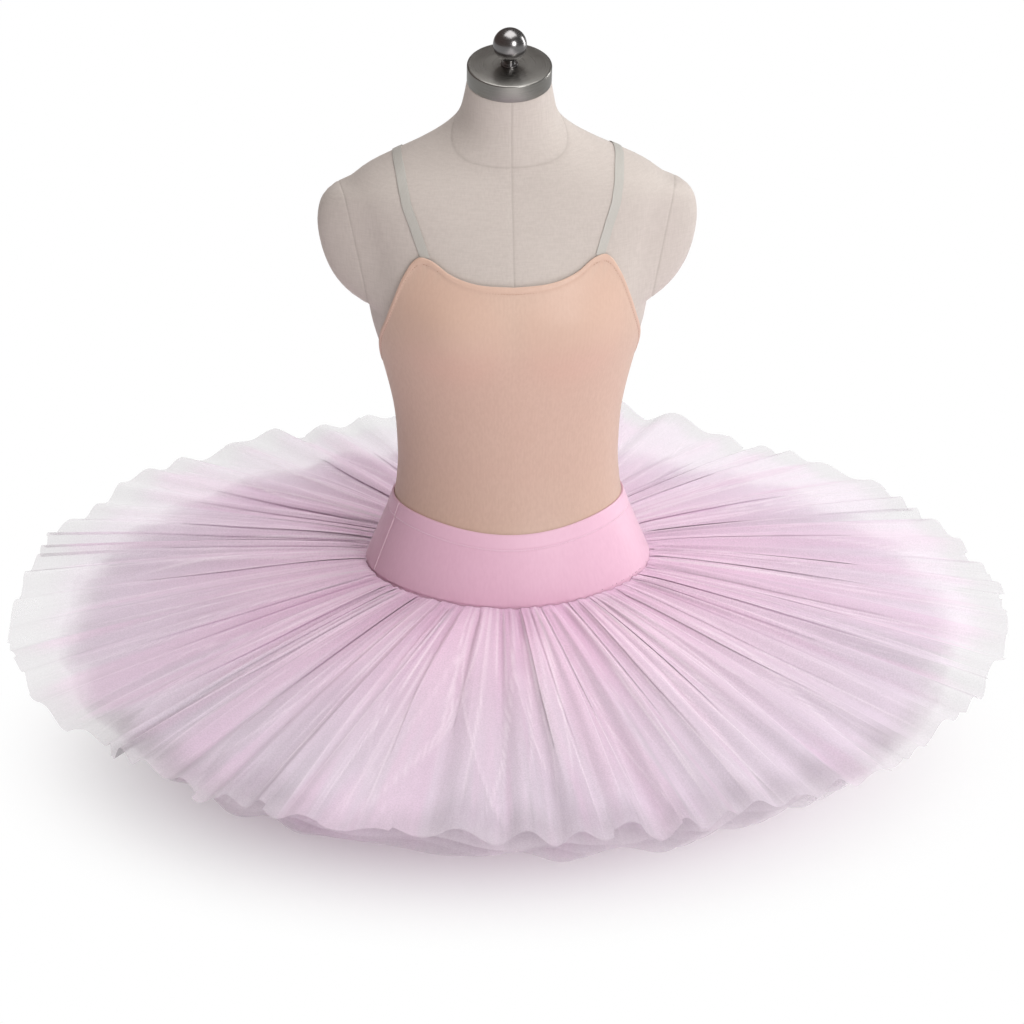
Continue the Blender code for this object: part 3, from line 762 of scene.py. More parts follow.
def wall(columns, rows, size, place, mark=None, closed=False):
    """A wall of cloth between place(across, along, 0) and place(across, along, 1)."""
    bm = grid(columns, rows, closed, size)
    edge = bm.verts.layers.float.new("edge")
    shares = {}
    for vert in bm.verts:
        shares[vert] = share_of(vert, closed)
        if mark:
            vert[edge] = mark(*shares[vert])
    whole = bm.verts[:] + bm.edges[:] + bm.faces[:]
    copied = bmesh.ops.extrude_face_region(bm, geom=whole, use_keep_orig=True)["geom"]
    outer = [item for item in copied if isinstance(item, bmesh.types.BMVert)]
    places = {vert: place(*share_of(vert, closed), 1) for vert in outer}
    places.update({vert: place(*share, 0) for vert, share in shares.items()})
    for vert, point in places.items():
        vert.co = point
    outwards(bm)
    return bm


# ---------------------------------------------------------------- dress form


def figure():
    """The dress form from base to neck as a closed bmesh, to be cut into its pieces."""
    top = FORM_SECTIONS[-1].height
    rings = round(top / FIGURE_RING)
    bm = grid(FIGURE_COLUMNS, rings, True, (COVER_WIDTH, top))
    bm.verts.layers.float.new("seam")
    for vert in bm.verts:
        across, along = share_of(vert, True)
        vert.co = form_point(TURN * across, top * along)
    fill(bm)
    return bm


def fill(bm):
    bmesh.ops.holes_fill(bm, edges=[edge for edge in bm.edges if edge.is_boundary], sides=0)


def upper(bm, above):
    """All that lies above a height, as geometry to cut."""
    faces = [face for face in bm.faces if min(vert.co.z for vert in face.verts) > above]
    edges = {edge for face in faces for edge in face.edges}
    verts = {vert for face in faces for vert in face.verts}
    return faces + list(edges) + list(verts)


def slice_along(bm, point, normal, above, clear=False):
    bmesh.ops.bisect_plane(
        bm,
        geom=upper(bm, above),
        plane_co=point,
        plane_no=normal,
        dist=TINY,
        clear_outer=clear,
    )


def tuck(bm, point, normal, above):
    """Draws the cover into the seam that lies in a plane."""
    for offset in SEAM_LOOPS:
        slice_along(bm, point + normal * offset, normal, above)
    seam = bm.verts.layers.float["seam"]
    bm.normal_update()
    for vert in bm.verts:
        if vert.co.z > above:
            away = (vert.co - point).dot(normal) / SEAM_WIDTH
            depth = math.exp(-(away**2))
            vert[seam] = max(vert[seam], depth)
            vert.co -= vert.normal * SEAM_TUCK * depth


def mirrored(vector, side):
    return Vector((vector.x * side, vector.y, vector.z))


def dress_form(finish):
    """The form, tucked along its seams and cut into neck, shoulder caps and torso."""
    neck_normal = Vector((0, -math.sin(NECK_SEAM_SLOPE), math.cos(NECK_SEAM_SLOPE)))
    armhole_normal = (ARMHOLE_TOP - ARMHOLE_BOTTOM).cross(ARMHOLE_FRONT - ARMHOLE_BOTTOM)
    armhole_normal.normalize()
    sideways = Vector((1, 0, 0))
    whole = figure()
    tuck(whole, Vector((0, 0, 0)), sideways, WAIST)
    tuck(whole, NECK_SEAM_FRONT, neck_normal, ARMHOLE_CUT_FROM)
    for side in (1, -1):
        tuck(whole, mirrored(ARMHOLE_BOTTOM, side), mirrored(armhole_normal, side), ARMHOLE_CUT_FROM)

    neck = whole.copy()
    slice_along(neck, NECK_SEAM_FRONT, -neck_normal, -1.0, clear=True)
    fill(neck)
    outwards(neck)
    finish_piece(neck, "linen_neck", finish, "form_linen", "form_neck", 60)
    for side, word in ((1, "right"), (-1, "left")):
        normal = mirrored(armhole_normal, side)
        point = mirrored(ARMHOLE_BOTTOM, side)
        cap = whole.copy()
        low = [face for face in cap.faces if max(v.co.z for v in face.verts) < ARMHOLE_CUT_FROM]
        bmesh.ops.delete(cap, geom=low, context="FACES")
        slice_along(cap, point, -normal, -1.0, clear=True)
        fill(cap)
        outwards(cap)
        finish_piece(
            cap, "linen_cap_" + word, finish, "form_linen", "form_shoulder_cap_" + word, 60
        )
    slice_along(whole, NECK_SEAM_FRONT, neck_normal, ARMHOLE_CUT_FROM, clear=True)
    fill(whole)
    for side in (1, -1):
        normal = mirrored(armhole_normal, side)
        slice_along(whole, mirrored(ARMHOLE_BOTTOM, side), normal, ARMHOLE_CUT_FROM, clear=True)
        fill(whole)
    outwards(whole)
    finish_piece(whole, "linen_torso", finish, "form_linen", "form_torso", 60)


def neck_axis():
    """The frame of the neck's top, whose Z is the neck's leaning axis."""
    top = FORM_SECTIONS[-1]
    lean = Matrix.Rotation(math.radians(top.lean), 4, "X")
    return Matrix.Translation((0, top.centre_y, top.height)) @ lean


def arc(radius, centre_out, centre_up, start, end, steps):
    """Points of a profile's arc, with angles from straight up."""
    return [
        (
            centre_out + radius * math.sin(start + (end - start) * step / steps),
            centre_up + radius * math.cos(start + (end - start) * step / steps),
        )
        for step in range(steps + 1)
    ]


def turned_piece(name, profile, bottom, finish, node):
    """A turned piece: a profile of (radius, height) pairs, from its top to its bottom."""
    bm = bmesh.new()
    bm.loops.layers.uv.new("cloth")
    verts = [bm.verts.new((radius, 0, height + bottom)) for radius, height in profile]
    edges = [bm.edges.new(pair) for pair in zip(verts, verts[1:])]
    bmesh.ops.spin(
        bm,
        geom=verts + edges,
        axis=(0, 0, 1),
        cent=(0, 0, 0),
        angle=TURN,
        steps=STEEL_STEPS,
        use_merge=True,
    )
    bmesh.ops.remove_doubles(bm, verts=bm.verts, dist=TINY)
    bm.transform(neck_axis())
    outwards(bm)
    return finish_piece(bm, name, finish, "brushed_steel", node, 35)


def neck_metal():
    """The steel cap on the neck, and the stem and ball on it."""
    top = STEEL_CAP_THICKNESS
    edge = STEEL_CAP_EDGE
    quarter = TURN / 4
    profile = [
        (0.0, top),
        (STEEL_CAP_RADIUS * 0.5, top),
        *arc(edge, STEEL_CAP_RADIUS - edge, top - edge, 0, quarter, 5),
        *arc(edge / 2, STEEL_CAP_RADIUS - edge / 2, edge / 2, quarter, 2 * quarter, 4),
        (0.0, 0.0),
    ]
    brushed = steel_finish("brushed_steel", 0.22, (0.33, 0.32, 0.30))
    turned_piece("steel_neck_cap", profile, GAP, brushed, "neck_cap")

    meets = math.acos(-math.sqrt(1 - (STEM_RADIUS / BALL_RADIUS) ** 2))
    profile = [
        *arc(BALL_RADIUS, 0.0, BALL_CENTRE, 0, meets, 26),
        (STEM_RADIUS, STEM_FOOT_THICKNESS + 0.001),
        (STEM_RADIUS + 0.001, STEM_FOOT_THICKNESS),
        (STEM_FOOT_RADIUS - 0.0005, STEM_FOOT_THICKNESS),
        (STEM_FOOT_RADIUS, STEM_FOOT_THICKNESS - 0.0005),
        (STEM_FOOT_RADIUS, 0.0),
        (0.0, 0.0),
    ]
    polished = steel_finish("polished_steel", 0.15, (0.30, 0.29, 0.29))
    turned_piece(
        "steel_finial", profile, STEEL_CAP_THICKNESS + 2 * GAP, polished, "finial"
    )


# ---------------------------------------------------------------- bodice, straps and basque


def bodice_height(angle, along):
    """The height at a share of the way up a bodice panel, whose last rows are its neck band."""
    top = edge_height(NECKLINE, angle)
    foot = basque_top(angle) - CASING + TURN_STEP
    band_from = 1 - NECK_ROWS / BODICE_ROWS
    if along < band_from:
        return foot + (top - NECK_BAND - foot) * along / band_from
    return top - NECK_BAND * (1 - along) / (1 - band_from)


def neck_edge(angle, height):
    """How much thicker the bodice is at its turned neck edge, with a dent at the stitches."""
    below = edge_height(NECKLINE, angle) - height
    turned = 1 - ease(NECK_BAND, NECK_BAND + TURN_STEP, below)
    dent = math.exp(-(((below - NECK_BAND) / 0.0009) ** 2))
    round_off = math.exp(-((below / 0.0007) ** 2))
    return NECK_TURN * turned - 0.0007 * dent - 0.0006 * round_off


def strap_pull(angle, height):
    """The small puckers where a strap's end draws on the bodice."""
    away = math.degrees(angle)
    side = 1 if away > 0 else -1
    across = abs(away) - 34.0
    below = edge_height(NECKLINE, angle) - height
    if abs(across) > 14 or below > 0.05:
        return 0.0
    fall = math.exp(-below / 0.014) * math.exp(-((across / 6.5) ** 2))
    ripples = math.sin(across * 1.25 + below * 160 * side)
    return 0.0007 * fall * ripples


def basque_height(angle, along):
    top = basque_top(angle)
    hem = basque_hem(angle)
    casing_from = 1 - CASING_ROWS / BASQUE_ROWS
    if along < casing_from:
        return hem + (top - CASING - hem) * along / casing_from
    return top - CASING * (1 - along) / (1 - casing_from)


def basque_edge(angle, height):
    """How much thicker the basque is at its casing, with dents at the stitches and the hem."""
    below = basque_top(angle) - height
    turned = 1 - ease(CASING, CASING + TURN_STEP, below)
    dent = math.exp(-(((below - CASING) / 0.0010) ** 2))
    round_off = math.exp(-((below / 0.0009) ** 2))
    above_hem = height - basque_hem(angle)
    drawn = math.exp(-((above_hem / 0.0030) ** 2))
    puckers = math.sin(angle * 46 + 2.0 * math.sin(angle * 7)) * drawn
    return CASING_TURN * turned - 0.0007 * dent - 0.0007 * round_off + 0.0002 * puckers


Panel = namedtuple("Panel", "name node start height_at edge_at rows lift thick finish slot flat")


def half_panel(panel):
    """A front or back panel, from one side seam to the other, drawn in where it is seamed."""
    sweep = TURN / 2

    def place(across, along, side):
        angle = panel.start + sweep * across
        height = panel.height_at(angle, along)
        out = panel.thick + panel.edge_at(angle, height) if side else 0.0
        seam = min(across, 1 - across) * sweep * 0.13
        out -= 0.0006 * math.exp(-((seam / 0.0012) ** 2)) * side
        return on_form(angle, height, panel.lift + out)

    def mark(across, along):
        angle = panel.start + sweep * across
        return max(0.0, min(1.0, panel.edge_at(angle, panel.height_at(angle, along)) / 0.0005))

    bm = wall(PANEL_COLUMNS, panel.rows, panel.flat, place, mark)
    return finish_piece(bm, panel.name, panel.finish, panel.slot, panel.node, 60)


def bodice_lift(angle, height):
    """How far the bodice stands out past its even wall."""
    swell = bust_swell(angle, height) * BUST_FULLER
    return neck_edge(angle, height) + strap_pull(angle, height) + swell


def bodice(finish):
    made = []
    for word, start, flat in BODICE_PANELS:
        panel = Panel(
            "jersey_bodice_" + word,
            "bodice_" + word,
            start,
            bodice_height,
            bodice_lift,
            BODICE_ROWS,
            CLOTH_LIFT,
            JERSEY_WALL,
            finish,
            "nude_jersey",
            flat,
        )
        made.append(half_panel(panel))
    return made


def basque(finish):
    made = []
    for word, start in (("front", BASQUE_TWIST - TURN / 4), ("back", BASQUE_TWIST + TURN / 4)):
        panel = Panel(
            "satin_basque_" + word,
            "basque_" + word,
            start,
            basque_height,
            basque_edge,
            BASQUE_ROWS,
            OVER_JERSEY,
            SATIN_WALL,
            finish,
            "pink_satin",
            BASQUE_CLOTH,
        )
        made.append(half_panel(panel))
    return made


def knickers(finish):
    """The hidden band that the net is sewn to, with a narrow turned leg edge."""

    def place(across, along, side):
        angle = TURN * across
        top = basque_hem(angle) + BAND_TOP
        height = KNICKERS_FOOT + (top - KNICKERS_FOOT) * along
        foot = math.exp(-(((height - KNICKERS_FOOT) / 0.006) ** 2))
        ruching = 0.0004 * foot * math.sin(angle * 60)
        return on_form(angle, height, CLOTH_LIFT + (JERSEY_WALL + ruching) * side)

    bm = wall(180, 24, BAND_CLOTH, place, closed=True)
    return finish_piece(bm, "satin_knickers", finish, "pink_satin", "knickers", 60)


def strap_middle(along, side):
    """The strap's centre line: an angle round the form and a height."""
    pieces = len(STRAP_PATH) - 1
    stops = [Edge(index / pieces, point) for index, point in enumerate(STRAP_PATH)]
    angles = [Edge(stop.angle, stop.height.angle) for stop in stops]
    heights = [Edge(stop.angle, stop.height.height) for stop in stops]
    angle = smooth_between(angles, along, "angle", "height")
    return math.radians(angle) * side, smooth_between(heights, along, "angle", "height")


def strap(side, finish):
    """A strap's elastic; the side is 1 on the right and -1 on the left."""
    word = "right" if side > 0 else "left"

    def place(across, along, lifted):
        before = form_point(*strap_middle(max(0.0, along - 0.01), side))
        after = form_point(*strap_middle(min(1.0, along + 0.01), side))
        angle, height = strap_middle(along, side)
        normal = form_normal(angle, height)
        across_way = normal.cross(after - before).normalized()
        point = form_point(angle, height) + across_way * STRAP_WIDTH * (across - 0.5)
        crown = 1 - (2 * across - 1) ** 4
        lift = STRAP_CLEAR + STRAP_WALL * (0.40 + 0.15 * crown) * lifted
        return point + normal * lift

    bm = wall(STRAP_COLUMNS, STRAP_STEPS, STRAP_CLOTH, place)
    return finish_piece(bm, "elastic_strap_" + word, finish, "satin_elastic", "strap_" + word, 60)


# ---------------------------------------------------------------- net


def rippled(ripples, share):
    return sum(r.amount * math.sin(TURN * (r.count * share + r.start)) for r in ripples)


def flute_rise(angle):
    """How far the large flutes lift the top layer's rim."""
    rise = 0.0
    for flute in FLUTES:
        away = math.degrees(angle) % 360 - flute.angle
        rise += flute.rise * math.exp(-((away / flute.half_width) ** 2))
    return rise


Spoke = namedtuple("Spoke", "angle pleat depth dip root rim flute")


def spoke(layer, share, stands_back):
    """All that a net layer's points in one line outwards have in common."""
    angle = TURN * (share + rippled(PLEAT_SPACING, share))
    pleat = math.sin(TURN * (layer.pleats * share + layer.shift))
    depth = 1 + rippled(PLEAT_DEPTH, share)
    front = max(0.0, math.cos(angle)) ** 2
    dip = BASQUE_HEM_DIP * front_dip(angle)
    root = on_form(angle, layer.row_height - dip + layer.row_wave * pleat, NET_ROOT)
    reach = rippled(RIM_REACH, share) + stands_back * (layer is NET_LAYERS[0])
    flute = 0.0
    if layer is NET_LAYERS[0]:
        depth *= 1 + FRONT_POINTS * front
        flute = flute_rise(angle)
    else:
        reach += LOWER_FRONT_REACH * front
    rim_radius = layer.rim_radius * (1 + reach)
    rim_angle = angle + TURN * rippled(RIM_SWAY, share)
    rim = Vector((rim_radius * math.sin(rim_angle), -rim_radius * math.cos(rim_angle), 0))
    return Spoke(angle, pleat, depth, dip, root, rim, flute)


def net_point(layer, at, out):
    """A point of a net layer; out goes from 0 at the knickers to 1 at the rim."""
    wave = layer.row_wave + (layer.rim_wave * at.depth - layer.row_wave) * out
    point = at.root.lerp(at.rim, out)
    fall = (layer.row_height - layer.rim_height) * out**NET_FALL
    point.z = layer.row_height - at.dip * (1 - out) ** 2 - fall + wave * at.pleat
    point.z += at.flute * out**3 - NET_SIDE_DROOP * math.sin(at.angle) * out
    point.z -= (1 - ROOT_WAVE) * layer.row_wave * at.pleat * (1 - ease(0.0, 0.12, out))
    return point


Fold = namedtuple("Fold", "share drift bend width edge strength start end lean turned")


def stepped_rim(layer, columns):
    """How far each column of the rim stands back, in slanting panels that overlap each other."""
    chance = random.Random(NET_GATHERS[layer.name].seed + 1)
    steps = []
    while len(steps) < columns:
        width = round(columns * chance.uniform(*RIM_PANEL))
        start = chance.uniform(-RIM_STEP, 0.0)
        slant = chance.uniform(-RIM_STEP, RIM_STEP) / 2
        front = 1 + FRONT_RIM_STEP * max(0.0, math.cos(TURN * len(steps) / columns)) ** 2
        steps += [front * (start + slant * index / width) for index in range(width)]
    return steps[:columns]


def small_folds(gathers):
    """Folds of uneven length, width and spacing; some turn under themselves towards the root."""
    chance = random.Random(gathers.seed)
    made = []
    for index in range(gathers.count):
        share = (index + chance.uniform(-0.45, 0.45)) / gathers.count
        broad = 0.0 if chance.random() < LINE_SHARE else chance.random()
        width = gathers.narrow + (gathers.wide - gathers.narrow) * broad
        start = chance.choice((FROM_ROOT, FROM_ROOT, chance.uniform(0.0, 0.45)))
        made.append(
            Fold(
                share % 1.0,
                chance.gauss(0, gathers.drift),
                chance.uniform(0.9, 2.2),
                width if broad else 0.0,
                chance.uniform(0.7, 1.5),
                chance.uniform(0.25, 1.0),
                start,
                start + chance.uniform(0.45, 1.40),
                chance.choice((-1, 1)),
                False,
            )
        )
    for index in range(gathers.turned):
        made.append(
            Fold(
                (index + chance.uniform(-0.28, 0.28)) / gathers.turned % 1.0,
                0.0,
                1.0,
                chance.uniform(*gathers.under),
                chance.uniform(0.6, 1.1),
                chance.uniform(0.6, 1.0),
                FROM_ROOT,
                chance.uniform(*TURNED_END),
                chance.choice((-1, 1)),
                True,
            )
        )
    return made


def fold_reach(fold, share, out):
    """How far a point is from a fold's middle, and how much of the fold is there."""
    away = (share - fold.share - fold.drift * out**fold.bend + 0.5) % 1.0 - 0.5
    length = fold.end - fold.start
    faded = fold.strength * ease(fold.start, fold.start + 0.12 * length, out)
    return away, faded * (1 - ease(fold.end - 0.35 * length, fold.end, out))


def turned_under(folds, share, out):
    """How far folds that turn under draw the cloth round, and how far they lift it."""
    moved = lifted = 0.0
    closed = 1 - ease(*TURNED_OPEN, out)
    for fold in folds:
        if not fold.turned or not fold.start <= out <= fold.end:
            continue
        away, faded = fold_reach(fold, share, out)
        half = TURNED_HALF * fold.width
        at = away / half
        if abs(at) > 4:
            continue
        turn = closed * min(1.0, 1.6 * faded)
        moved -= TURNED * turn * half * at * math.exp(-at * at / 2)
        lifted += TURNED_LIFT * turn * fold.lean * math.tanh(at) * math.exp(-((at / 2.5) ** 2))
    return moved, lifted


def fold_shape(folds, share, out, radius):
    """At a point: how high the folds' edges stand, how creased it is, how doubled it is."""
    rise = crease = doubled = 0.0
    round_here = TURN * radius
    closed = 1 - ease(*TURNED_OPEN, out)
    for fold in folds:
        if not fold.start <= out <= fold.end:
            continue
        away, faded = fold_reach(fold, share, out)
        away *= fold.lean
        if fold.turned:
            away += closed * TURNED_EDGE * TURNED_HALF * fold.width
        edge = math.exp(-((away * round_here / (FOLD_EDGE * fold.edge)) ** 2)) * faded
        behind = 0.0
        if fold.width:
            behind = ease(-FOLD_EDGE, FOLD_EDGE, away * round_here)
            behind *= (1 - ease(0.3 * fold.width, 1.2 * fold.width, away)) * faded
        rise += FOLD_RISE * (0.4 * edge + 0.6 * behind) * (1.6 - 0.8 * out)
        crease = max(crease, edge)
        doubled += (0.7 - 0.5 * closed * fold.turned) * behind * (1 - doubled)
    return rise, crease, doubled


def wedge_tone(angle, radius):
    """An uneven tone in long wedges, as overlapping folds of sheer net have."""
    ray = Vector((math.sin(angle), -math.cos(angle), 0))
    tone = 0.5
    for detail, stretch, amount in TONE_WEDGES:
        tone += amount * noise.noise(ray * detail + Vector((0, 0, radius * stretch)))
    return min(1.0, max(0.0, tone))


def gather_rise(gathers, share, out):
    """The gathers, all unlike, that come out of the seam and flatten as the net opens out."""
    swelling = ease(0.0, ROOT_SMOOTH, out) * math.exp(-((out / gathers.reach) ** 1.6))
    uneven = 0.80 + 0.20 * math.sin(TURN * (19 * share + 0.3))
    wander = 2.2 * math.sin(TURN * 11 * share) + 1.5 * math.sin(TURN * (23 * share + 0.4))
    wander += 0.9 * math.sin(TURN * (5 * share + 0.8 * out))
    wide = math.sin(TURN * gathers.waves * share + wander)
    return gathers.height * swelling * uneven * wide


def net(layer, finish):
    """One gathered layer of tulle."""
    gathers = NET_GATHERS[layer.name]
    columns = gathers.columns
    rims = stepped_rim(layer, columns)
    spokes = [spoke(layer, column / columns, rims[column]) for column in range(columns)]
    near = [[] for _ in range(columns)]
    for fold in small_folds(gathers):
        reach = 1.2 * fold.width + 1.3 * abs(fold.drift) + 0.004
        for column in range(*(round((fold.share + end) * columns) for end in (-reach, reach))):
            near[column % columns].append(fold)

    bm = grid(columns, gathers.rows, True, NET_STRIPS[layer.name])
    spread, crease, doubled, tone = (
        bm.verts.layers.float.new(name) for name in ("spread", "crease", "doubled", "tone")
    )
    round_way = bm.verts.layers.float_vector.new("round_way")
    for vert in bm.verts:
        share, out = share_of(vert, True)
        out = min(1.0, max(0.0, out)) ** ROWS_DRAWN_IN
        column = round(share * columns) % columns
        folds = near[column]
        moved, lifted = turned_under(folds, column / columns, out)
        place = column + moved * columns
        before = math.floor(place)
        at = spokes[before % columns]
        after = net_point(layer, spokes[(before + 1) % columns], out)
        point = net_point(layer, at, out).lerp(after, place - before)
        radius = math.hypot(point.x, point.y)
        rise, vert[crease], vert[doubled] = fold_shape(folds, place / columns, out, radius)
        point.z += lifted + rise + gather_rise(gathers, place / columns, out)
        vert[spread] = out
        vert[round_way] = (math.cos(TURN * share), math.sin(TURN * share), out)
        vert[tone] = wedge_tone(at.angle, radius + layer.shift)
        vert.co = point
    bmesh.ops.recalc_face_normals(bm, faces=bm.faces)
    bm.normal_update()
    if sum(face.normal.z for face in bm.faces) < 0:
        bmesh.ops.reverse_faces(bm, faces=bm.faces)
    name = "tulle_" + layer.name.removeprefix("net_")
    return finish_piece(bm, name, finish, "pink_net", layer.name, 180)


# ---------------------------------------------------------------- sewing


Stitch = namedtuple("Stitch", "middle along out")


def stitches(name, run, stitch_size, finish, slot):
    """A run of stitches as one mesh, each a small flattened bead along its seam."""
    bm = bmesh.new()
    bm.loops.layers.uv.new("cloth")
    length, width = stitch_size
    for stitch in run:
        along = stitch.along.normalized()
        out = (stitch.out - along * stitch.out.dot(along)).normalized()
        across = out.cross(along)
        turn = Matrix((along, across, out)).transposed().to_4x4()
        size = Matrix.Diagonal((length / 2, width / 2, width / 2, 1))
        bmesh.ops.create_icosphere(
            bm,
            subdivisions=1,
            radius=1,
            matrix=Matrix.Translation(stitch.middle) @ turn @ size,
        )
    return finish_piece(bm, name, finish, slot)


def round_run(count, height_at, lift, start=0.0, sweep=TURN, slope=0.0):
    """Stitches at even steps along a line round the form; with a slope they zigzag."""
    run = []
    for index in range(count):
        angle = start + sweep * (index + 0.5) / count
        middle = on_form(angle, height_at(angle), lift)
        ahead = on_form(angle + STEP, height_at(angle + STEP), lift)
        along = (ahead - middle).normalized()
        along.z += slope * (-1) ** index
        run.append(Stitch(middle, along, form_normal(angle, height_at(angle))))
    return run


def side_piping(word, angle, finish):
    """The thin pale edge that stands up along a side seam of the basque."""
    bm = grid(PIPING_SIDES, PIPING_ROWS, True, PIPING_CLOTH)
    for vert in bm.verts:
        across, along = share_of(vert, True)
        turn = TURN * across
        height = basque_height(angle, along)
        normal = form_normal(angle, height)
        round_way = normal.cross(Vector((0, 0, 1))).normalized()
        middle = on_form(angle, height, OVER_JERSEY + SATIN_WALL + basque_edge(angle, height))
        raised = normal * math.sin(turn) * PIPING_RISE
        vert.co = middle + (raised + round_way * math.cos(turn) * PIPING_HALF_WIDTH)
    fill(bm)
    outwards(bm)
    return finish_piece(bm, "side_seam_" + word, finish, "pink_satin", crease=80)


def sewing(nude_thread, pink_thread, pale_thread, dark_thread):
    """The stitch lines of the neckline, the casing and the hem, and the piped side seams."""
    neck_line = OVER_JERSEY - 0.0004
    stitches(
        "neckline_stitches",
        round_run(330, lambda angle: edge_height(NECKLINE, angle) - NECK_BAND, neck_line),
        NECK_STITCH,
        nude_thread,
        "nude_jersey",
    )
    casing_line = OVER_JERSEY + SATIN_WALL + 0.0002
    stitches(
        "casing_stitches",
        round_run(400, lambda angle: basque_top(angle) - CASING, casing_line, slope=1.0),
        CASING_STITCH,
        pink_thread,
        "pink_satin",
    )
    for start, word in ((BASQUE_TWIST - TURN / 4, "left"), (BASQUE_TWIST + TURN / 4, "right")):
        side_piping(word, start, pale_thread)
    chance = random.Random(5)
    hem = [
        stitch
        for stitch in round_run(
            60, lambda angle: basque_hem(angle) + 0.0007, casing_line - 0.0002, *HEM_STITCHED
        )
        if chance.random() < HEM_TACKED
    ]
    stitches("hem_stitches", hem, HEM_STITCH, dark_thread, "pink_satin")


# ---------------------------------------------------------------- the whole


def studio_floor():
    """A white floor that glows, as painted light: least right below the form, where real shade
    shows, so that the glow paints the soft edge of its shadow; pure white further out.
    """
    bm = bmesh.new()
    bmesh.ops.create_grid(bm, x_segments=1, y_segments=1, size=14)
    mesh = bpy.data.meshes.new("studio_floor")
    bm.to_mesh(mesh)
    bm.free()
    floor = bpy.data.objects.new("studio_floor", mesh)
    bpy.context.scene.collection.objects.link(floor)
    f = Finish("studio_paper", 0.9)
    # Painted light: the glow rises from nothing under the form to full white further out, painting
    # the edge of its shadow, and it also lights the form from below.
    glow = f.between(f.vector("LENGTH", f.vector("MULTIPLY", f.place(), FLOOR_SHAPE)), *FLOOR_GLOW)
    rays = f.add("LightPath").outputs
    # Painted reflection: glossy rays see a bright stripe of floor, dark beyond it, which the steel
    # mirrors.
    away = f.maths("ABSOLUTE", f.maths("SUBTRACT", f.part(f.place(), "X"), FLOOR_STRIPE[0]))
    painted_reflection = f.grey(f.between(away, *FLOOR_STRIPE[1:]))
    lights = f.mix(rays["Is Glossy Ray"], FLOOR_BOUNCE, painted_reflection)
    paper = f.mix(glow, FLOOR_BOUNCE, (0.0, 0.0, 0.0))
    f.colour(f.mix(rays["Is Camera Ray"], lights, paper))
    f.shader.inputs["Specular IOR Level"].default_value = 0.0
    f.shader.inputs["Emission Color"].default_value = WHITE
    sent = f.between(rays["Is Camera Ray"], 0.0, 1.0, FLOOR_SENDS, 1.0)
    f.join(f.maths("MULTIPLY", glow, sent), f.shader.inputs["Emission Strength"])
    mesh.materials.append(f.material)
    floor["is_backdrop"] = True


def surround():
    """Soft light from all round, weaker from the left; metal mirrors a darker room."""
    world = bpy.data.worlds.new("studio_surround")
    world.use_nodes = True
    tree = world.node_tree

    def put(socket, value):
        if isinstance(value, bpy.types.NodeSocket):
            tree.links.new(value, socket)
        else:
            socket.default_value = value

    def add(kind, **inputs):
        node = tree.nodes.new("ShaderNode" + kind)
        for name, value in inputs.items():
            put(node.inputs[name], value)
        return node

    def from_left(interpolation, *names):
        node = add("MapRange", Value=axes["X"])
        node.interpolation_type = interpolation
        for name, value in zip(names, SURROUND_FALL):
            node.inputs[name].default_value = value
        return node.outputs["Result"]

    def tinted(share, first, second):
        node = tree.nodes.new("ShaderNodeMix")
        node.data_type = "RGBA"
        put(node.inputs["Factor"], share)
        sockets = [socket for socket in node.inputs if socket.type == "RGBA"]
        put(sockets[0], first)
        put(sockets[1], second)
        return next(socket for socket in node.outputs if socket.type == "RGBA")

    axes = add("SeparateXYZ", Vector=add("TexCoord").outputs["Generated"]).outputs
    rays = add("LightPath").outputs
    side = from_left("SMOOTHSTEP", "From Min", "From Max", "To Min", "To Max")
    dim = add("Mix", Factor=rays["Is Glossy Ray"], A=side, B=MIRRORED_ROOM)
    seen = add("Mix", Factor=rays["Is Camera Ray"], A=dim.outputs["Result"], B=1.0)
    warm = tinted(from_left("LINEAR", "From Min", "From Max"), (*SURROUND_LEFT, 1.0), WHITE)
    background = tree.nodes["Background"]
    put(background.inputs["Color"], tinted(rays["Is Camera Ray"], warm, WHITE))
    put(background.inputs["Strength"], seen.outputs["Result"])
    bpy.context.scene.world = world


WHITE = (1.0, 1.0, 1.0, 1.0)
# The floor's painted glow, and the painted shadow that it leaves under the form:
FLOOR_SHAPE = (0.80, 1.0, 1.0)  # the shadow is this much wider from side to side
FLOOR_GLOW = (0.19, 0.46)  # from the middle, where the paper starts to glow, and is white
FLOOR_SENDS = 0.48  # the light that it then sends up
FLOOR_BOUNCE = (0.90, 0.88, 0.89)
# A painted reflection, the stripe of floor that metal mirrors: its place, where it starts and ends,
# how bright and how dark
FLOOR_STRIPE = (0.12, 0.05, 0.90, 0.80, 0.05)
SURROUND_FALL = (-0.7, 0.9, 0.12, 0.66)  # from the left to the right
SURROUND_LEFT = (1.0, 0.79, 0.73)  # the tint of the light from the left
MIRRORED_ROOM = 0.16
Softbox = namedtuple("Softbox", "name place width height power aim")
SOFTBOXES = (
    Softbox("key_softbox", (1.5, -3.0, 1.8), 1.2, 1.5, 50, (0.0, 0.0, 0.35)),
    Softbox("side_softbox", (2.9, 1.3, 1.1), 0.7, 2.0, 30, (0.0, 0.0, 0.40)),
    Softbox("top_softbox", (0.1, -0.1, 3.0), 2.2, 2.2, 42, (0.0, 0.0, 0.20)),
)


def softboxes():
    for box in SOFTBOXES:
        light = bpy.data.lights.new(box.name, "AREA")
        light.shape = "RECTANGLE"
        light.energy = box.power
        light.size = box.width
        light.size_y = box.height
        lamp = bpy.data.objects.new(box.name, light)
        lamp.location = box.place
        aim = Vector(box.aim) - lamp.location
        lamp.rotation_euler = aim.to_track_quat("-Z", "Y").to_euler()
        lamp.visible_camera = False
        bpy.context.scene.collection.objects.link(lamp)


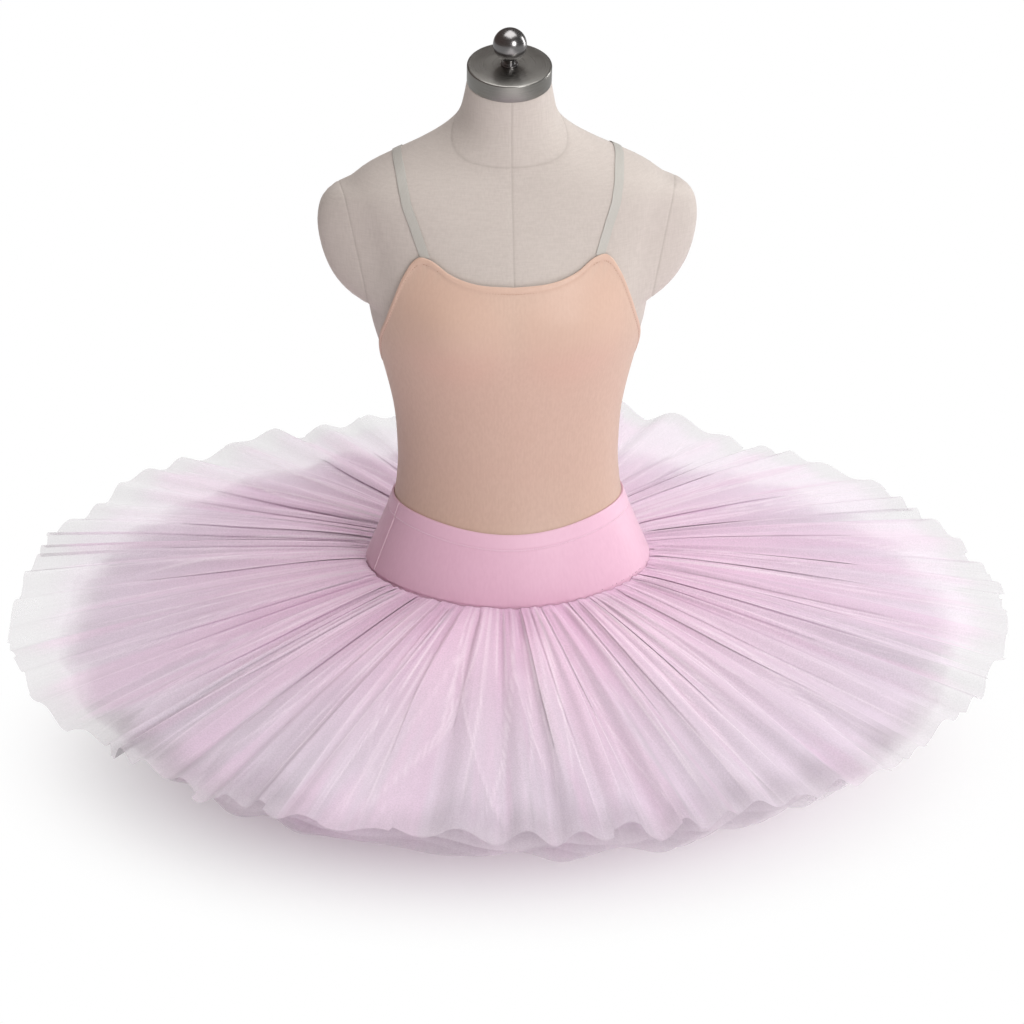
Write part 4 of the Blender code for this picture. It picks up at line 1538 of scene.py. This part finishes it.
def studio():
    """Floor, light all round and three softboxes, in plain colours."""
    studio_floor()
    surround()
    softboxes()
    scene = bpy.context.scene
    scene.view_settings.view_transform = "Standard"
    scene.cycles.transparent_max_bounces = 24


# The camera stands a little to the left of the front and looks down.
CAMERA_DISTANCE = 3.36
CAMERA_TURN = math.radians(-3.5)
CAMERA_RISE = math.radians(24.0)
CAMERA_LENS = 112.3
SUBJECT = Vector((0.0, 0.0, 0.215))
CAMERA_AIM = Vector((0.0042, 0.0, 0.2588))


def camera():
    level = CAMERA_DISTANCE * math.cos(CAMERA_RISE)
    stand = SUBJECT + Vector(
        (
            level * math.sin(CAMERA_TURN),
            -level * math.cos(CAMERA_TURN),
            CAMERA_DISTANCE * math.sin(CAMERA_RISE),
        )
    )
    lens = bpy.data.cameras.new("front_camera")
    lens.sensor_width = 36.0
    lens.lens = CAMERA_LENS
    made = bpy.data.objects.new("front_camera", lens)
    made.location = stand
    made.rotation_euler = (CAMERA_AIM - stand).to_track_quat("-Z", "Y").to_euler()
    bpy.context.scene.collection.objects.link(made)
    bpy.context.scene.camera = made


camera()
studio()
dress_form(linen_finish())
neck_metal()
jersey = jersey_finish()
satin = satin_finish()
elastic = elastic_finish()
bodice_pieces = bodice(jersey)
basque_pieces = basque(satin)
band = knickers(satin)
straps = [strap(side, elastic) for side in (1, -1)]
# The third colour of each tulle is the grey of its painted shade.
top_tulle = net_finish(
    "top_tulle", (0.93, 0.64, 0.85), (0.94, 0.85, 0.97), (0.68, 0.66, 0.69), 0.85, 0.62, 0.42
)
under_tulle = net_finish(
    "under_tulle",
    (0.89, 0.61, 0.82),
    (0.87, 0.77, 0.88),
    (0.68, 0.65, 0.67),
    0.92,
    0.72,
    0.58,
    fading_rim=True,
)
tulles = [net(layer, top_tulle if layer is NET_LAYERS[0] else under_tulle) for layer in NET_LAYERS]
sewing(
    thread_finish("nude_thread", (0.50, 0.28, 0.20)),
    thread_finish("pink_thread", (0.98, 0.74, 0.85)),
    thread_finish("pale_thread", (0.94, 0.70, 0.80)),
    thread_finish("plum_thread", (0.30, 0.12, 0.20)),
)

boxes = {"cad": cad_box, "visual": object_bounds()}
{name: [list(corner) for corner in box] for name, box in boxes.items()}
